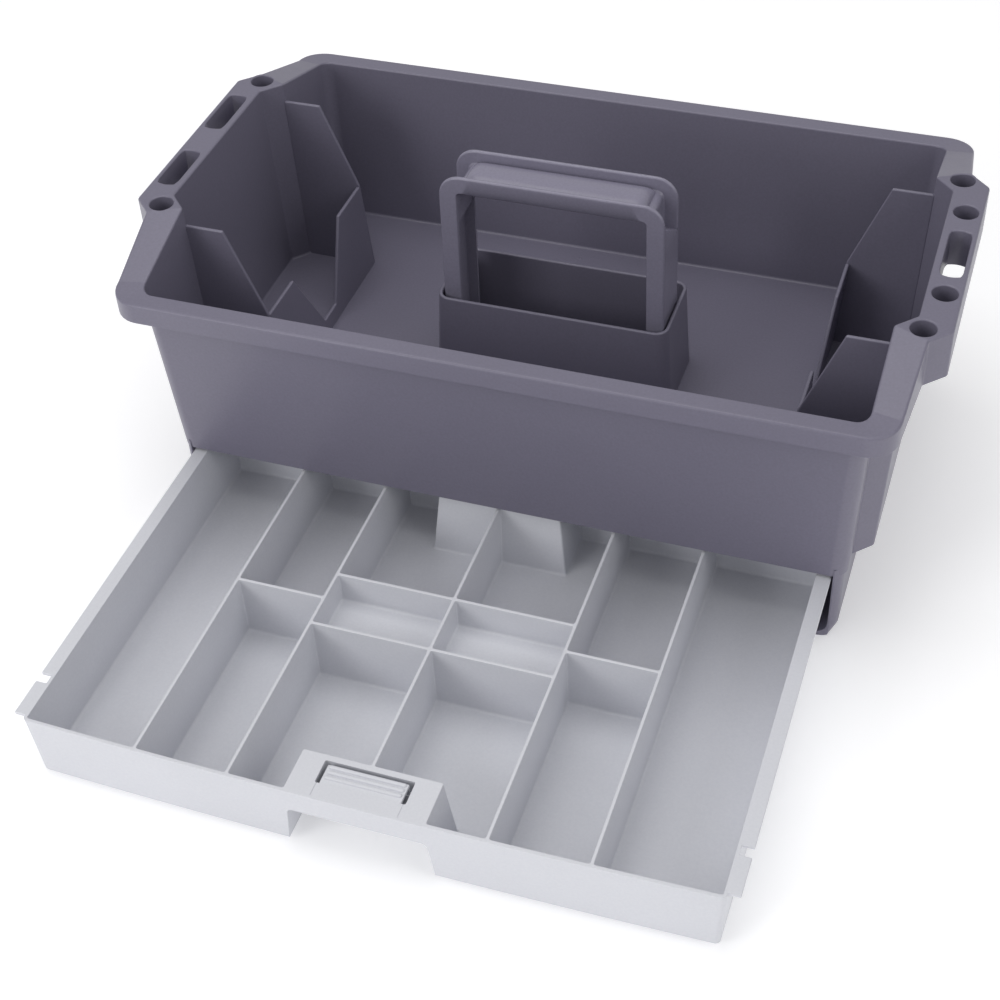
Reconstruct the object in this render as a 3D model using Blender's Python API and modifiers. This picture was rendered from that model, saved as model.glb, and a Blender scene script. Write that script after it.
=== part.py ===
"""Tool storage caddy: an open tub with tool racks at both ends, a carrying handle on a pedestal,
and a shallow parts drawer that slides out of the housing under the tub.

Metres, +Z up. The caddy stands on z = 0, the drawer opens towards -Y, and the origin is at the
middle of the whole object with the drawer pulled out.
"""

import math

import bmesh
import bpy
from mathutils import Matrix, Vector

# Driving dimensions, in metres
GAP = 0.0003               # between neighbouring pieces
WALL = 0.0022              # thickness of the moulded walls

RACK_TOP = 0.1770          # top of the tool racks, above the surface the caddy stands on
RIM_TOP = 0.1603           # top of the front and back rims
SKIRT_BOTTOM = 0.1480      # lower edge of the rims' and racks' skirts
FLOOR_TOP = 0.0530         # tub floor
FLOOR_BOTTOM = 0.0500
FRONT_WALL_BOTTOM = 0.0460
PLATE = 0.0025             # thickness of the rims' and racks' top plates

TUB_END_INSIDE = 0.1984    # half the tub's inner length, at the racks' level
TUB_BAY_INSIDE = 0.2068    # the same between the bin fins, where the end wall steps out
TUB_FRONT_INSIDE = 0.1288  # half the tub's inner depth, at the rims' level
END_DRAFT = 0.035          # inward lean of the end walls, per metre of height
BAY_DRAFT = 0.0423
FRONT_DRAFT = 0.0654
CORNER_RADIUS = 0.007
BAY_HALF_DEPTH = 0.0587    # half the depth of the stepped-out middle of the end wall
FIN_Y = 0.0697             # the bin fins stand this far from the tub's middle
WALL_JOIN_X = 0.1840       # where a front wall meets the corners of the end walls

RIM_OUTSIDE_X = 0.2130
RIM_OUTSIDE_Y = 0.1404
RIM_CORNER_RADIUS = 0.0110
RACK_OUTSIDE_X = 0.2280
RACK_FLAT_HALF = 0.0670    # half the length of the rack's outermost edge
RACK_SHOULDER = (0.2170, 0.0780)
RACK_SLOPE_START = 0.0760  # beyond this distance from the middle the rack slopes down to the rim
TOOL_HOLE_RADIUS = 0.0070

HANDLE_TOP = 0.1870
HANDLE_OPENING_TOP = 0.1760
HANDLE_HALF_LENGTH = 0.0655
HANDLE_HALF_DEPTH = 0.0157
HANDLE_POST = 0.0102       # width of each post
GRIP_HALF_LENGTH = 0.0530
GRIP_CREST = 0.1840
PEDESTAL_TOP = 0.1072
PEDESTAL_HALF_LENGTH = 0.0697
PEDESTAL_FRONT = -0.0225
PEDESTAL_BACK = 0.0314
PEDESTAL_DRAFT = 0.0030    # how much wider the pedestal is at the floor, on each side

DRAWER_BOTTOM = 0.0030     # underside of the drawer, above the surface the caddy stands on
DRAWER_HEIGHT = 0.0412
DRAWER_LENGTH = 0.2487
DRAWER_REACH = 0.3387      # the drawer's front, from the tub's middle, when pulled out
DRAWER_HALF_WIDTH = 0.1822
DRAWER_FLANGE_X = 0.1883
DRAWER_WALL = 0.0020
DIVIDER = 0.0017
SIDE_DIVIDER_X = 0.1185
MID_DIVIDER_X = 0.0676
SIDE_CROSS_Y = 0.1258      # cross dividers, measured from the drawer's front
SHALLOW_CROSS_Y = (0.1072, 0.1445)
SHALLOW_FLOOR = 0.0225     # height of the shallow compartments' floor in the drawer
FRONT_BOW = 0.0030         # how far the front bulges out at its middle
LATCH_HALF_WIDTH = 0.0370
LATCH_DEPTH = 0.0272
TONGUE_HALF_WIDTH = 0.0220
TONGUE_HINGE_Y = 0.0097    # the tongue's bending line, measured from the drawer's front
TONGUE_LENGTH = 0.0125
BACK_BAY_FRONT = 0.2147    # front face of the bay at the drawer's back, at its base
BACK_BAY_HALF_WIDTH = 0.0390

HOUSING_INSIDE_X = 0.1894
LIP_TOP = 0.0026           # top of the lips that the drawer slides on
LIP_INNER_X = 0.1700

RUNNER_WALL = 0.0050       # how far the housing's sides stand out from their inner face
RUNNER_TURN = 0.0100       # radius of the turn from a side into its lip
HOOD_TOP_X = 0.2110        # outer face of the end hoods, at the rack
HOOD_BOTTOM_X = 0.2058
HOOD_BOTTOM = 0.0510
HOOD_WALL = 0.0018
HOOD_FACE_HALF = 0.1000    # half the length of a hood's flat face
HOOD_CHAMFER = 0.0075
RIM_INSIDE_Y = TUB_FRONT_INSIDE

FIN_TOP = 0.1655
FIN_TOP_X = 0.1755         # end of the fin's level top
BIN_WALL_TOP = 0.1110
BIN_WALL_TOP_X = 0.1552    # middle of the low bin wall, at its top and at the floor
BIN_WALL_FOOT_X = 0.1506
NOTCH_BOTTOM = 0.0630
NOTCH_HALF_BOTTOM = 0.0085
NOTCH_HALF_TOP = 0.0350

HANDLE_CORNER_RADIUS = 0.0125
HANDLE_SPREAD = 0.0015     # how much wider the posts stand at their feet, on each side
HANDLE_LIP = 0.0026        # thickness of the lips along the handle's top
CHANNEL_DEPTH = 0.0065
CHANNEL_FOOT = 0.1580      # where the channel down a post's outside ends

DRAWER_DRAFT = 0.0018
DRAWER_INSIDE_FRONT = FRONT_BOW + DRAWER_WALL
FLANGE_THICKNESS = 0.0020
FLANGE_FRONT = 0.0035
FLANGE_BACK = 0.2470
NOTCH_FRONT = 0.0282
NOTCH_BACK = 0.0340
FRONT_BAND_BOTTOM = 0.0260 # lower edge of the front above the finger space
LATCH_SLOT = 0.0017        # width of the slot around the tongue
TONGUE_THICKNESS = 0.0020
RIDGE_HEIGHT = 0.0013
RIDGE_WIDTH = 0.0020
RIDGE_PLACES = (0.0105, 0.0073, 0.0041)    # from the tongue's bending line, rear ridge first

# Tool holes (x, y) and slots (x, width, front end, back end), from the tub's middle
LEFT_HOLES = ((-0.2122, -0.0685), (-0.2128, 0.0705))
LEFT_SLOTS = ((-0.2197, 0.0122, -0.0500, -0.0135), (-0.2197, 0.0122, 0.0120, 0.0510))
RIGHT_HOLES = ((0.2128, -0.0685), (0.2185, -0.0365), (0.2185, 0.0395), (0.2128, 0.0705))
RIGHT_SLOTS = ((0.2195, 0.0122, -0.0215, 0.0210),)
CLEAR = 0.0100             # how far a cutter reaches past what it cuts

TUB_Y = (DRAWER_REACH - RIM_OUTSIDE_Y) / 2   # the tub's middle, behind the origin

TUB_GREY = (0.150, 0.143, 0.185)
HANDLE_GREY = (0.190, 0.185, 0.235)
DRAWER_GREY = (0.480, 0.510, 0.560)


def clear_scene():
    for obj in list(bpy.data.objects):
        bpy.data.objects.remove(obj, do_unlink=True)


def new_collection(name):
    collection = bpy.data.collections.new(name)
    bpy.context.scene.collection.children.link(collection)
    return collection


clear_scene()
PARTS = new_collection("tool_storage_caddy")
CUTTERS = new_collection("cutters")


def material(name, colour, roughness):
    made = bpy.data.materials.new(name)
    made.use_nodes = True
    shader = made.node_tree.nodes["Principled BSDF"]
    shader.inputs["Base Color"].default_value = (*colour, 1.0)
    shader.inputs["Roughness"].default_value = roughness
    shader.inputs["Metallic"].default_value = 0.0
    return made


def empty(name, location, parent=None):
    obj = bpy.data.objects.new(name, None)
    obj.empty_display_size = 0.02
    obj.location = location
    obj.parent = parent
    PARTS.objects.link(obj)
    return obj


def add_part(name, mesh, parent, colour, roughness=0.5):
    """A sub-part with its own material, in its parent's frame."""
    obj = bpy.data.objects.new(name, mesh)
    obj.parent = parent
    obj.data.materials.append(material(name, colour, roughness))
    PARTS.objects.link(obj)
    return obj


def add_cutter(name, mesh, parent):
    obj = bpy.data.objects.new(name, mesh)
    obj.parent = parent
    obj.hide_render = True
    obj.display_type = "WIRE"
    CUTTERS.objects.link(obj)
    return obj


def boolean(obj, other, operation="DIFFERENCE"):
    modifier = obj.modifiers.new(other.name, "BOOLEAN")
    modifier.operation = operation
    modifier.solver = "EXACT"
    modifier.object = other


def cut(obj, mesh):
    boolean(obj, add_cutter(f"cut_{obj.name}", mesh, obj.parent))


def join(obj, mesh):
    boolean(obj, add_cutter(f"join_{obj.name}", mesh, obj.parent), "UNION")


def bevel(obj, width, segments=2, angle=30.0):
    modifier = obj.modifiers.new("round_edges", "BEVEL")
    modifier.width = width
    modifier.segments = segments
    modifier.limit_method = "ANGLE"
    modifier.angle_limit = math.radians(angle)


# Turns a flat outline's own axes (u, v and its thickness) to the object's axes.
TURN = {
    "Z": Matrix.Identity(4),
    "Y": Matrix(((1, 0, 0, 0), (0, 0, -1, 0), (0, 1, 0, 0), (0, 0, 0, 1))),
    "X": Matrix(((0, 0, 1, 0), (1, 0, 0, 0), (0, 1, 0, 0), (0, 0, 0, 1))),
}
AXIS = {"X": Vector((1, 0, 0)), "Y": Vector((0, 1, 0)), "Z": Vector((0, 0, 1))}


def outline_mesh(axis, low, high, *loops):
    """A flat outline, with any holes as further loops, extruded along an axis from low to high.

    The points are (y, z) for X, (x, z) for Y and (x, y) for Z.
    """
    curve = bpy.data.curves.new("outline", "CURVE")
    curve.dimensions = "2D"
    curve.fill_mode = "BOTH"
    curve.extrude = (high - low) / 2
    for points in loops:
        spline = curve.splines.new("POLY")
        spline.points.add(len(points) - 1)
        for point, (u, v) in zip(spline.points, points):
            point.co = (u, v, 0, 1)
        spline.use_cyclic_u = True
    obj = bpy.data.objects.new("outline", curve)
    PARTS.objects.link(obj)
    graph = bpy.context.evaluated_depsgraph_get()
    mesh = bpy.data.meshes.new_from_object(obj.evaluated_get(graph))
    bpy.data.objects.remove(obj)
    bpy.data.curves.remove(curve)
    mesh.transform(TURN[axis])
    mesh.transform(Matrix.Translation(AXIS[axis] * (low + high) / 2))
    edited = bmesh.new()
    edited.from_mesh(mesh)
    bmesh.ops.remove_doubles(edited, verts=edited.verts, dist=1e-6)
    bmesh.ops.recalc_face_normals(edited, faces=edited.faces)
    edited.to_mesh(mesh)
    edited.free()
    mesh.materials.clear()
    return mesh


def block_mesh(bottom, z_bottom, top, z_top):
    """A drafted block: a cube whose lower and upper rectangles are each (x0, x1, y0, y1)."""
    edited = bmesh.new()
    bmesh.ops.create_cube(edited, size=1.0)
    for vert in edited.verts:
        x0, x1, y0, y1 = top if vert.co.z > 0 else bottom
        x = x1 if vert.co.x > 0 else x0
        y = y1 if vert.co.y > 0 else y0
        vert.co = (x, y, z_top if vert.co.z > 0 else z_bottom)
    mesh = bpy.data.meshes.new("block")
    edited.to_mesh(mesh)
    edited.free()
    return mesh


def box_mesh(x0, x1, y0, y1, z0, z1):
    return block_mesh((x0, x1, y0, y1), z0, (x0, x1, y0, y1), z1)


def cylinder_mesh(x, y, radius, z0, z1, segments=20):
    edited = bmesh.new()
    bmesh.ops.create_cone(
        edited, cap_ends=True, segments=segments, radius1=radius, radius2=radius, depth=z1 - z0
    )
    bmesh.ops.translate(edited, verts=edited.verts, vec=(x, y, (z0 + z1) / 2))
    mesh = bpy.data.meshes.new("cylinder")
    edited.to_mesh(mesh)
    edited.free()
    return mesh


def strip_mesh(levels):
    """An open upright surface through a lower and an upper line of points, facing out of the tub."""
    lower, upper = levels
    edited = bmesh.new()
    row = [edited.verts.new(point) for point in lower]
    edges = [edited.edges.new(pair) for pair in zip(row, row[1:])]
    made = bmesh.ops.extrude_edge_only(edited, edges=edges)["geom"]
    raised = [item for item in made if isinstance(item, bmesh.types.BMVert)]
    for old, new_point in zip(lower, upper):
        match = min(raised, key=lambda vert: (vert.co - Vector(old)).length)
        raised.remove(match)
        match.co = new_point
    edited.normal_update()
    if sum(face.normal.xy.dot(face.calc_center_median().xy) for face in edited.faces) < 0:
        bmesh.ops.reverse_faces(edited, faces=edited.faces)
    mesh = bpy.data.meshes.new("strip")
    edited.to_mesh(mesh)
    edited.free()
    return mesh


def thicken(obj, thickness, offset):
    """Makes a surface a wall, on its outer side (offset 1) or its inner side (offset -1)."""
    modifier = obj.modifiers.new("wall", "SOLIDIFY")
    modifier.thickness = thickness
    modifier.offset = offset
    modifier.use_even_offset = True


def arc(cx, cy, radius, start, end, steps=4):
    """Points of a round corner, from one angle to the other, in degrees."""
    angles = [math.radians(start + (end - start) * i / steps) for i in range(steps + 1)]
    return [(cx + radius * math.cos(a), cy + radius * math.sin(a)) for a in angles]


def mirror_x(points):
    return [(-x, y) for x, y in reversed(points)]


def end_inside(z):
    """Inner face of an end wall at a height, beyond the bin fins."""
    return TUB_END_INSIDE - (RACK_TOP - z) * END_DRAFT


def bay_inside(z):
    """Inner face of an end wall at a height, between the bin fins."""
    return TUB_BAY_INSIDE - (RACK_TOP - z) * BAY_DRAFT


def front_inside(z):
    """Inner face of the front or back wall at a height."""
    return TUB_FRONT_INSIDE - (RIM_TOP - z) * FRONT_DRAFT


def rack_top(y):
    """Top of a rack at a distance from the middle: level, then sloping down to the rim."""
    fall = (RACK_TOP - RIM_TOP) / (TUB_FRONT_INSIDE - RACK_SLOPE_START)
    return RACK_TOP - max(0.0, abs(y) - RACK_SLOPE_START) * fall


# The tub

def tub_floor(caddy):
    x_end = end_inside(FLOOR_BOTTOM) - GAP
    x_bay = bay_inside(FLOOR_BOTTOM) - GAP
    y_end = front_inside(FLOOR_BOTTOM) - GAP
    chamfer = 0.0060
    quarter = [
        (x_bay, BAY_HALF_DEPTH - GAP),
        (x_end, FIN_Y - GAP),
        (x_end, y_end - chamfer),
        (x_end - chamfer, y_end),
    ]
    back = quarter + mirror_x(quarter)
    outline = back + [(-x, -y) for x, y in back]
    mesh = outline_mesh("Z", FLOOR_BOTTOM, FLOOR_TOP, outline)
    return add_part("tub_floor", mesh, caddy, TUB_GREY)


def long_wall(name, caddy, side):
    """The front (side -1) or back (side 1) wall of the tub."""
    x = WALL_JOIN_X - GAP
    bottom = FRONT_WALL_BOTTOM if side < 0 else FLOOR_BOTTOM
    top = RIM_TOP - PLATE - GAP
    lower = [(-x, side * front_inside(bottom), bottom), (x, side * front_inside(bottom), bottom)]
    upper = [(-x, side * front_inside(top), top), (x, side * front_inside(top), top)]
    obj = add_part(name, strip_mesh((lower, upper)), caddy, TUB_GREY)
    thicken(obj, WALL, 1)
    return obj


def end_wall_line(end_z, corner_z):
    """Half of an end wall's inner face in plan, from its middle to the join with the long wall.

    The face leans, so its ends take their place from one height and its corners from another.
    """
    x = end_inside(end_z)
    y = front_inside(corner_z)
    radius = CORNER_RADIUS
    bay = [(bay_inside(end_z), BAY_HALF_DEPTH), (x, FIN_Y)]
    return bay + arc(x - radius, y - radius, radius, 0, 90, 3) + [(WALL_JOIN_X + GAP, y)]


def end_wall(name, caddy, side):
    """An end wall with its two rounded corners and its stepped-out middle."""
    foot = end_wall_line(FLOOR_BOTTOM, FLOOR_BOTTOM)
    head = end_wall_line(RACK_TOP - PLATE, RIM_TOP - PLATE)
    lower = both_ways([(side * x, y, FLOOR_BOTTOM) for x, y in foot])
    upper = both_ways([(side * x, y, under_rack(y)) for x, y in head])
    obj = add_part(name, strip_mesh((lower, upper)), caddy, TUB_GREY)
    thicken(obj, WALL, 1)
    return obj


def both_ways(points):
    """A line of points and its mirror image in y, as one line."""
    return [(x, -y, z) for x, y, z in reversed(points)] + points


def under_rack(y):
    """Height of a wall that stands under a rack's top plate."""
    return rack_top(y) - PLATE - GAP


def end_hood(name, caddy, side):
    """The hood outside an end wall, which carries the rack. It is open underneath."""

    def half(x_face, z_of):
        points = [(x_face, RACK_SLOPE_START), (x_face, HOOD_FACE_HALF)]
        points.append((x_face - HOOD_CHAMFER, HOOD_FACE_HALF + HOOD_CHAMFER))
        return [(side * x, y, z_of(y)) for x, y in points]

    lower = both_ways(half(HOOD_BOTTOM_X, lambda y: HOOD_BOTTOM))
    upper = both_ways(half(HOOD_TOP_X, under_rack))
    obj = add_part(name, strip_mesh((lower, upper)), caddy, TUB_GREY)
    thicken(obj, HOOD_WALL, -1)
    return obj


def slope_mesh(side, drop):
    """The space above a rack, lowered by a drop, as a cutter: level, and sloping at both ends."""
    far = RIM_OUTSIDE_Y + CLEAR
    half = [(RACK_SLOPE_START, RACK_TOP - drop), (far, rack_top(far) - drop), (far, RACK_TOP + CLEAR)]
    outline = half + [(-y, z) for y, z in reversed(half)]
    middle = side * RACK_OUTSIDE_X
    return outline_mesh("X", middle - 2 * CLEAR, middle + 2 * CLEAR, outline)


def rack_outline(side, inset):
    """Plan of a rack. With an inset it is the hollow inside the skirt, open towards the tub."""
    end_y = RIM_INSIDE_Y - GAP
    shoulder_x, shoulder_y = RACK_SHOULDER
    outer = [
        (RACK_OUTSIDE_X - inset, RACK_FLAT_HALF - 0.4 * inset),
        (shoulder_x - inset, shoulder_y - 0.4 * inset),
        (RIM_OUTSIDE_X - inset, end_y + 2 * inset),
    ]
    if inset:
        inner = [(TUB_END_INSIDE - CLEAR, end_y + 2 * inset)]
    else:
        inner = [(TUB_END_INSIDE, end_y), (TUB_END_INSIDE, FIN_Y), (TUB_BAY_INSIDE, BAY_HALF_DEPTH)]
    half = [(side * x, y) for x, y in outer + inner]
    return half + [(x, -y) for x, y in reversed(half)]


def slot_mesh(x, width, y_low, y_high, z_low, z_high):
    """A cutter for a slot with round ends that runs along y."""
    radius = width / 2
    outline = arc(x, y_high - radius, radius, 0, 180, 8) + arc(x, y_low + radius, radius, 180, 360, 8)
    return outline_mesh("Z", z_low, z_high, outline)


def tool_rack(name, caddy, side, holes, slots):
    """A rack: a top plate with holes and slots for tools, and a skirt turned down around its outside."""
    solid = outline_mesh("Z", SKIRT_BOTTOM, RACK_TOP + CLEAR / 2, rack_outline(side, 0.0))
    obj = add_part(name, solid, caddy, TUB_GREY)
    cut(obj, slope_mesh(side, 0.0))
    hollow = outline_mesh("Z", SKIRT_BOTTOM - CLEAR, RACK_TOP + CLEAR / 2, rack_outline(side, WALL))
    hollow_cutter = add_cutter(f"hollow_{name}", hollow, caddy)
    cut(hollow_cutter, slope_mesh(side, PLATE))
    boolean(obj, hollow_cutter)
    for x, y in holes:
        cut(obj, cylinder_mesh(x, y, TOOL_HOLE_RADIUS, RACK_TOP - CLEAR, RACK_TOP + CLEAR))
    for x, width, y_low, y_high in slots:
        cut(obj, slot_mesh(x, width, y_low, y_high, RACK_TOP - CLEAR, RACK_TOP + CLEAR))
    return obj


def rim(name, caddy, side):
    """A rim along the front or back: a top plate with a skirt turned down around its outside."""

    def outline(inset, inner_y):
        x = RIM_OUTSIDE_X - inset
        y = RIM_OUTSIDE_Y - inset
        radius = RIM_CORNER_RADIUS - inset
        quarter = [(x, inner_y)] + arc(x - radius, y - radius, radius, 0, 90)
        return [(u, side * v) for u, v in quarter + mirror_x(quarter)]

    solid = outline_mesh("Z", SKIRT_BOTTOM, RIM_TOP, outline(0.0, RIM_INSIDE_Y))
    obj = add_part(name, solid, caddy, TUB_GREY)
    cut(obj, outline_mesh("Z", SKIRT_BOTTOM - CLEAR, RIM_TOP - PLATE, outline(WALL, RIM_INSIDE_Y - CLEAR)))
    return obj


def bin_fin(name, caddy, x_side, y_side):
    """A tall fin that divides an end bin from the corner of the tub. Its free edge slants."""
    foot = FLOOR_TOP + GAP
    outline = [
        (end_inside(foot) - GAP, foot),
        (end_inside(FIN_TOP) - GAP, FIN_TOP),
        (FIN_TOP_X, FIN_TOP),
        (BIN_WALL_TOP_X - WALL, BIN_WALL_TOP),
        (BIN_WALL_FOOT_X - WALL, foot),
    ]
    outline = [(x_side * x, z) for x, z in outline]
    middle = y_side * FIN_Y
    mesh = outline_mesh("Y", middle - WALL / 2, middle + WALL / 2, outline)
    return add_part(name, mesh, caddy, TUB_GREY)


def bin_wall(name, caddy, side):
    """The low wall of an end bin, with a V-shaped notch so that fingers reach the bottom."""
    foot = FLOOR_TOP + GAP
    end_y = FIN_Y - WALL / 2 - GAP
    half = [
        (NOTCH_HALF_BOTTOM, NOTCH_BOTTOM),
        (NOTCH_HALF_TOP, BIN_WALL_TOP),
        (end_y, BIN_WALL_TOP),
        (end_y, foot),
    ]
    outline = half + [(-y, z) for y, z in reversed(half)]
    mesh = outline_mesh("X", -WALL / 2, WALL / 2, outline)
    for vert in mesh.vertices:
        rise = (vert.co.z - FLOOR_TOP) / (BIN_WALL_TOP - FLOOR_TOP)
        vert.co.x += side * (BIN_WALL_FOOT_X + (BIN_WALL_TOP_X - BIN_WALL_FOOT_X) * rise)
    return add_part(name, mesh, caddy, TUB_GREY)


# The handle

def handle_pedestal(caddy):
    """The open box in the middle of the tub that the handle's posts stand in."""

    def rectangle(grow, inset):
        x = PEDESTAL_HALF_LENGTH + grow - inset
        return (-x, x, PEDESTAL_FRONT - grow / 2 + inset, PEDESTAL_BACK + grow / 2 - inset)

    foot = FLOOR_TOP + GAP
    solid = block_mesh(rectangle(PEDESTAL_DRAFT, 0), foot, rectangle(0, 0), PEDESTAL_TOP)
    obj = add_part("handle_pedestal", solid, caddy, TUB_GREY)
    inside = block_mesh(
        rectangle(PEDESTAL_DRAFT, WALL), foot - CLEAR, rectangle(0, WALL), PEDESTAL_TOP + CLEAR
    )
    cut(obj, inside)
    return obj


def handle_loop(inset, foot_z):
    """Points round the outside of the handle's inverted U, from the right foot to the left."""
    x = HANDLE_HALF_LENGTH - inset
    top = HANDLE_TOP - inset
    radius = HANDLE_CORNER_RADIUS - inset
    right = [(x + HANDLE_SPREAD, foot_z)] + arc(x - radius, top - radius, radius, 0, 90)
    return right + mirror_x(right)


def carry_handle(caddy):
    """The handle: a channel-topped beam on two posts that reach down inside the pedestal."""
    foot = FLOOR_TOP + 2 * GAP
    inner_x = HANDLE_HALF_LENGTH - HANDLE_POST
    inner = [(-inner_x - HANDLE_SPREAD, foot), (-inner_x, HANDLE_OPENING_TOP)]
    inner += [(inner_x, HANDLE_OPENING_TOP), (inner_x + HANDLE_SPREAD, foot)]
    outline = handle_loop(0.0, foot) + inner
    mesh = outline_mesh("Y", -HANDLE_HALF_DEPTH, HANDLE_HALF_DEPTH, outline)
    obj = add_part("carry_handle", mesh, caddy, HANDLE_GREY)
    floor = handle_loop(CHANNEL_DEPTH, CHANNEL_FOOT)
    x_far = HANDLE_HALF_LENGTH + CLEAR
    around = [(-x_far, CHANNEL_FOOT), (-x_far, HANDLE_TOP + CLEAR)]
    around += [(x_far, HANDLE_TOP + CLEAR), (x_far, CHANNEL_FOOT)]
    half_width = HANDLE_HALF_DEPTH - HANDLE_LIP
    cut(obj, outline_mesh("Y", -half_width, half_width, floor + around))
    return obj


def handle_grip(caddy):
    """The crowned grip that lies in the handle's channel."""
    bottom = HANDLE_TOP - CHANNEL_DEPTH + GAP
    rise = GRIP_CREST - bottom
    end = arc(GRIP_HALF_LENGTH - rise, bottom, rise, 0, 90)
    half_width = HANDLE_HALF_DEPTH - HANDLE_LIP - GAP
    mesh = outline_mesh("Y", -half_width, half_width, end + mirror_x(end))
    obj = add_part("handle_grip", mesh, caddy, HANDLE_GREY)
    bevel(obj, 0.002)
    return obj


# The housing under the tub, which holds the drawer

def drawer_runner(name, caddy, side):
    """A side of the drawer housing, turned in at the bottom to make the lip the drawer slides on."""
    outer_x = HOUSING_INSIDE_X + RUNNER_WALL
    turn = RUNNER_TURN
    outline = [(HOUSING_INSIDE_X, FLOOR_BOTTOM - GAP), (outer_x, FLOOR_BOTTOM - GAP)]
    outline += reversed(arc(outer_x - turn, turn, turn, 270, 360))
    outline += [(LIP_INNER_X, 0.0), (LIP_INNER_X, LIP_TOP)]
    inner_turn = turn - LIP_TOP
    outline += arc(HOUSING_INSIDE_X - inner_turn, turn, inner_turn, 270, 360)
    outline = [(side * x, z) for x, z in outline]
    front = -front_inside(FLOOR_BOTTOM) - WALL
    mesh = outline_mesh("Y", front, front_inside(FLOOR_BOTTOM) - GAP, outline)
    return add_part(name, mesh, caddy, TUB_GREY)


def housing_back(caddy):
    """The back wall of the drawer housing."""
    x = HOUSING_INSIDE_X + RUNNER_WALL
    y = front_inside(FLOOR_BOTTOM)
    return add_part("housing_back", box_mesh(-x, x, y, y + WALL, 0.0, FLOOR_BOTTOM - GAP), caddy, TUB_GREY)


# The drawer. Its pieces are placed from the middle of its front, at its underside.

def drawer_front_y(x):
    """The drawer's bowed front, at a distance from its middle."""
    return FRONT_BOW * (x / DRAWER_HALF_WIDTH) ** 2


def drawer_tray(drawer):
    """The tray: floor, side walls with flanges, back wall and bowed front, cut out for the latch."""
    x = DRAWER_HALF_WIDTH
    front = [(x * step / 6, drawer_front_y(x * step / 6)) for step in range(-6, 7)]
    outline = front + [(x, DRAWER_LENGTH), (-x, DRAWER_LENGTH)]
    obj = add_part("drawer_tray", outline_mesh("Z", 0.0, DRAWER_HEIGHT, outline), drawer, DRAWER_GREY)
    foot_x = x - DRAWER_DRAFT
    inner_top = (-x + DRAWER_WALL, x - DRAWER_WALL, DRAWER_INSIDE_FRONT, DRAWER_LENGTH - DRAWER_WALL)
    inner_foot = (-foot_x + DRAWER_WALL, foot_x - DRAWER_WALL, *inner_top[2:])
    cut(obj, block_mesh(inner_foot, DRAWER_WALL, inner_top, DRAWER_HEIGHT + DRAWER_DRAFT))
    for side in (-1, 1):
        join(obj, flange_mesh(side))
    latch_x = LATCH_HALF_WIDTH + GAP
    cut(obj, box_mesh(-latch_x, latch_x, -CLEAR, LATCH_DEPTH + GAP, -CLEAR, DRAWER_HEIGHT + CLEAR))
    bay_x = BACK_BAY_HALF_WIDTH + GAP
    bay_front = BACK_BAY_FRONT - GAP
    cut(obj, box_mesh(-bay_x, bay_x, bay_front, DRAWER_LENGTH + CLEAR, -CLEAR, DRAWER_HEIGHT + CLEAR))
    return obj


def flange_mesh(side):
    """A flange along the top of a side wall, with the notch near its front."""
    inner = DRAWER_HALF_WIDTH - DRAWER_WALL / 2
    outline = [
        (inner, FLANGE_FRONT),
        (DRAWER_FLANGE_X, FLANGE_FRONT),
        (DRAWER_FLANGE_X, NOTCH_FRONT),
        (DRAWER_HALF_WIDTH, NOTCH_FRONT),
        (DRAWER_HALF_WIDTH, NOTCH_BACK),
        (DRAWER_FLANGE_X, NOTCH_BACK),
        (DRAWER_FLANGE_X, FLANGE_BACK),
        (inner, FLANGE_BACK),
    ]
    points = [(side * x, y) for x, y in outline]
    return outline_mesh("Z", DRAWER_HEIGHT - FLANGE_THICKNESS, DRAWER_HEIGHT, points)


def divider_plate(name, drawer, x0, x1, y0, y1, z0=None):
    """An upright divider standing on the drawer's floor, flush with its top."""
    foot = DRAWER_WALL + GAP if z0 is None else z0
    mesh = box_mesh(x0, x1, y0, y1, foot, DRAWER_HEIGHT)
    return add_part(name, mesh, drawer, DRAWER_GREY)


def long_dividers(drawer):
    """The dividers that run from the drawer's front to its back."""
    back = DRAWER_LENGTH - DRAWER_WALL - GAP
    lines = {
        "left_side_divider": (-SIDE_DIVIDER_X, DRAWER_INSIDE_FRONT + GAP, back),
        "left_middle_divider": (-MID_DIVIDER_X, DRAWER_INSIDE_FRONT + GAP, back),
        "centre_divider": (0.0, LATCH_DEPTH + 2 * GAP, BACK_BAY_FRONT - 2 * GAP),
        "right_middle_divider": (MID_DIVIDER_X, DRAWER_INSIDE_FRONT + GAP, back),
        "right_side_divider": (SIDE_DIVIDER_X, DRAWER_INSIDE_FRONT + GAP, back),
    }
    for name, (x, front, end) in lines.items():
        divider_plate(name, drawer, x - DIVIDER / 2, x + DIVIDER / 2, front, end)


def side_cross_dividers(drawer):
    """The cross dividers between the outer pairs of long dividers."""
    near = MID_DIVIDER_X + DIVIDER / 2 + GAP
    far = SIDE_DIVIDER_X - DIVIDER / 2 - GAP
    y0, y1 = SIDE_CROSS_Y - DIVIDER / 2, SIDE_CROSS_Y + DIVIDER / 2
    divider_plate("left_cross_divider", drawer, -far, -near, y0, y1)
    divider_plate("right_cross_divider", drawer, near, far, y0, y1)


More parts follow.
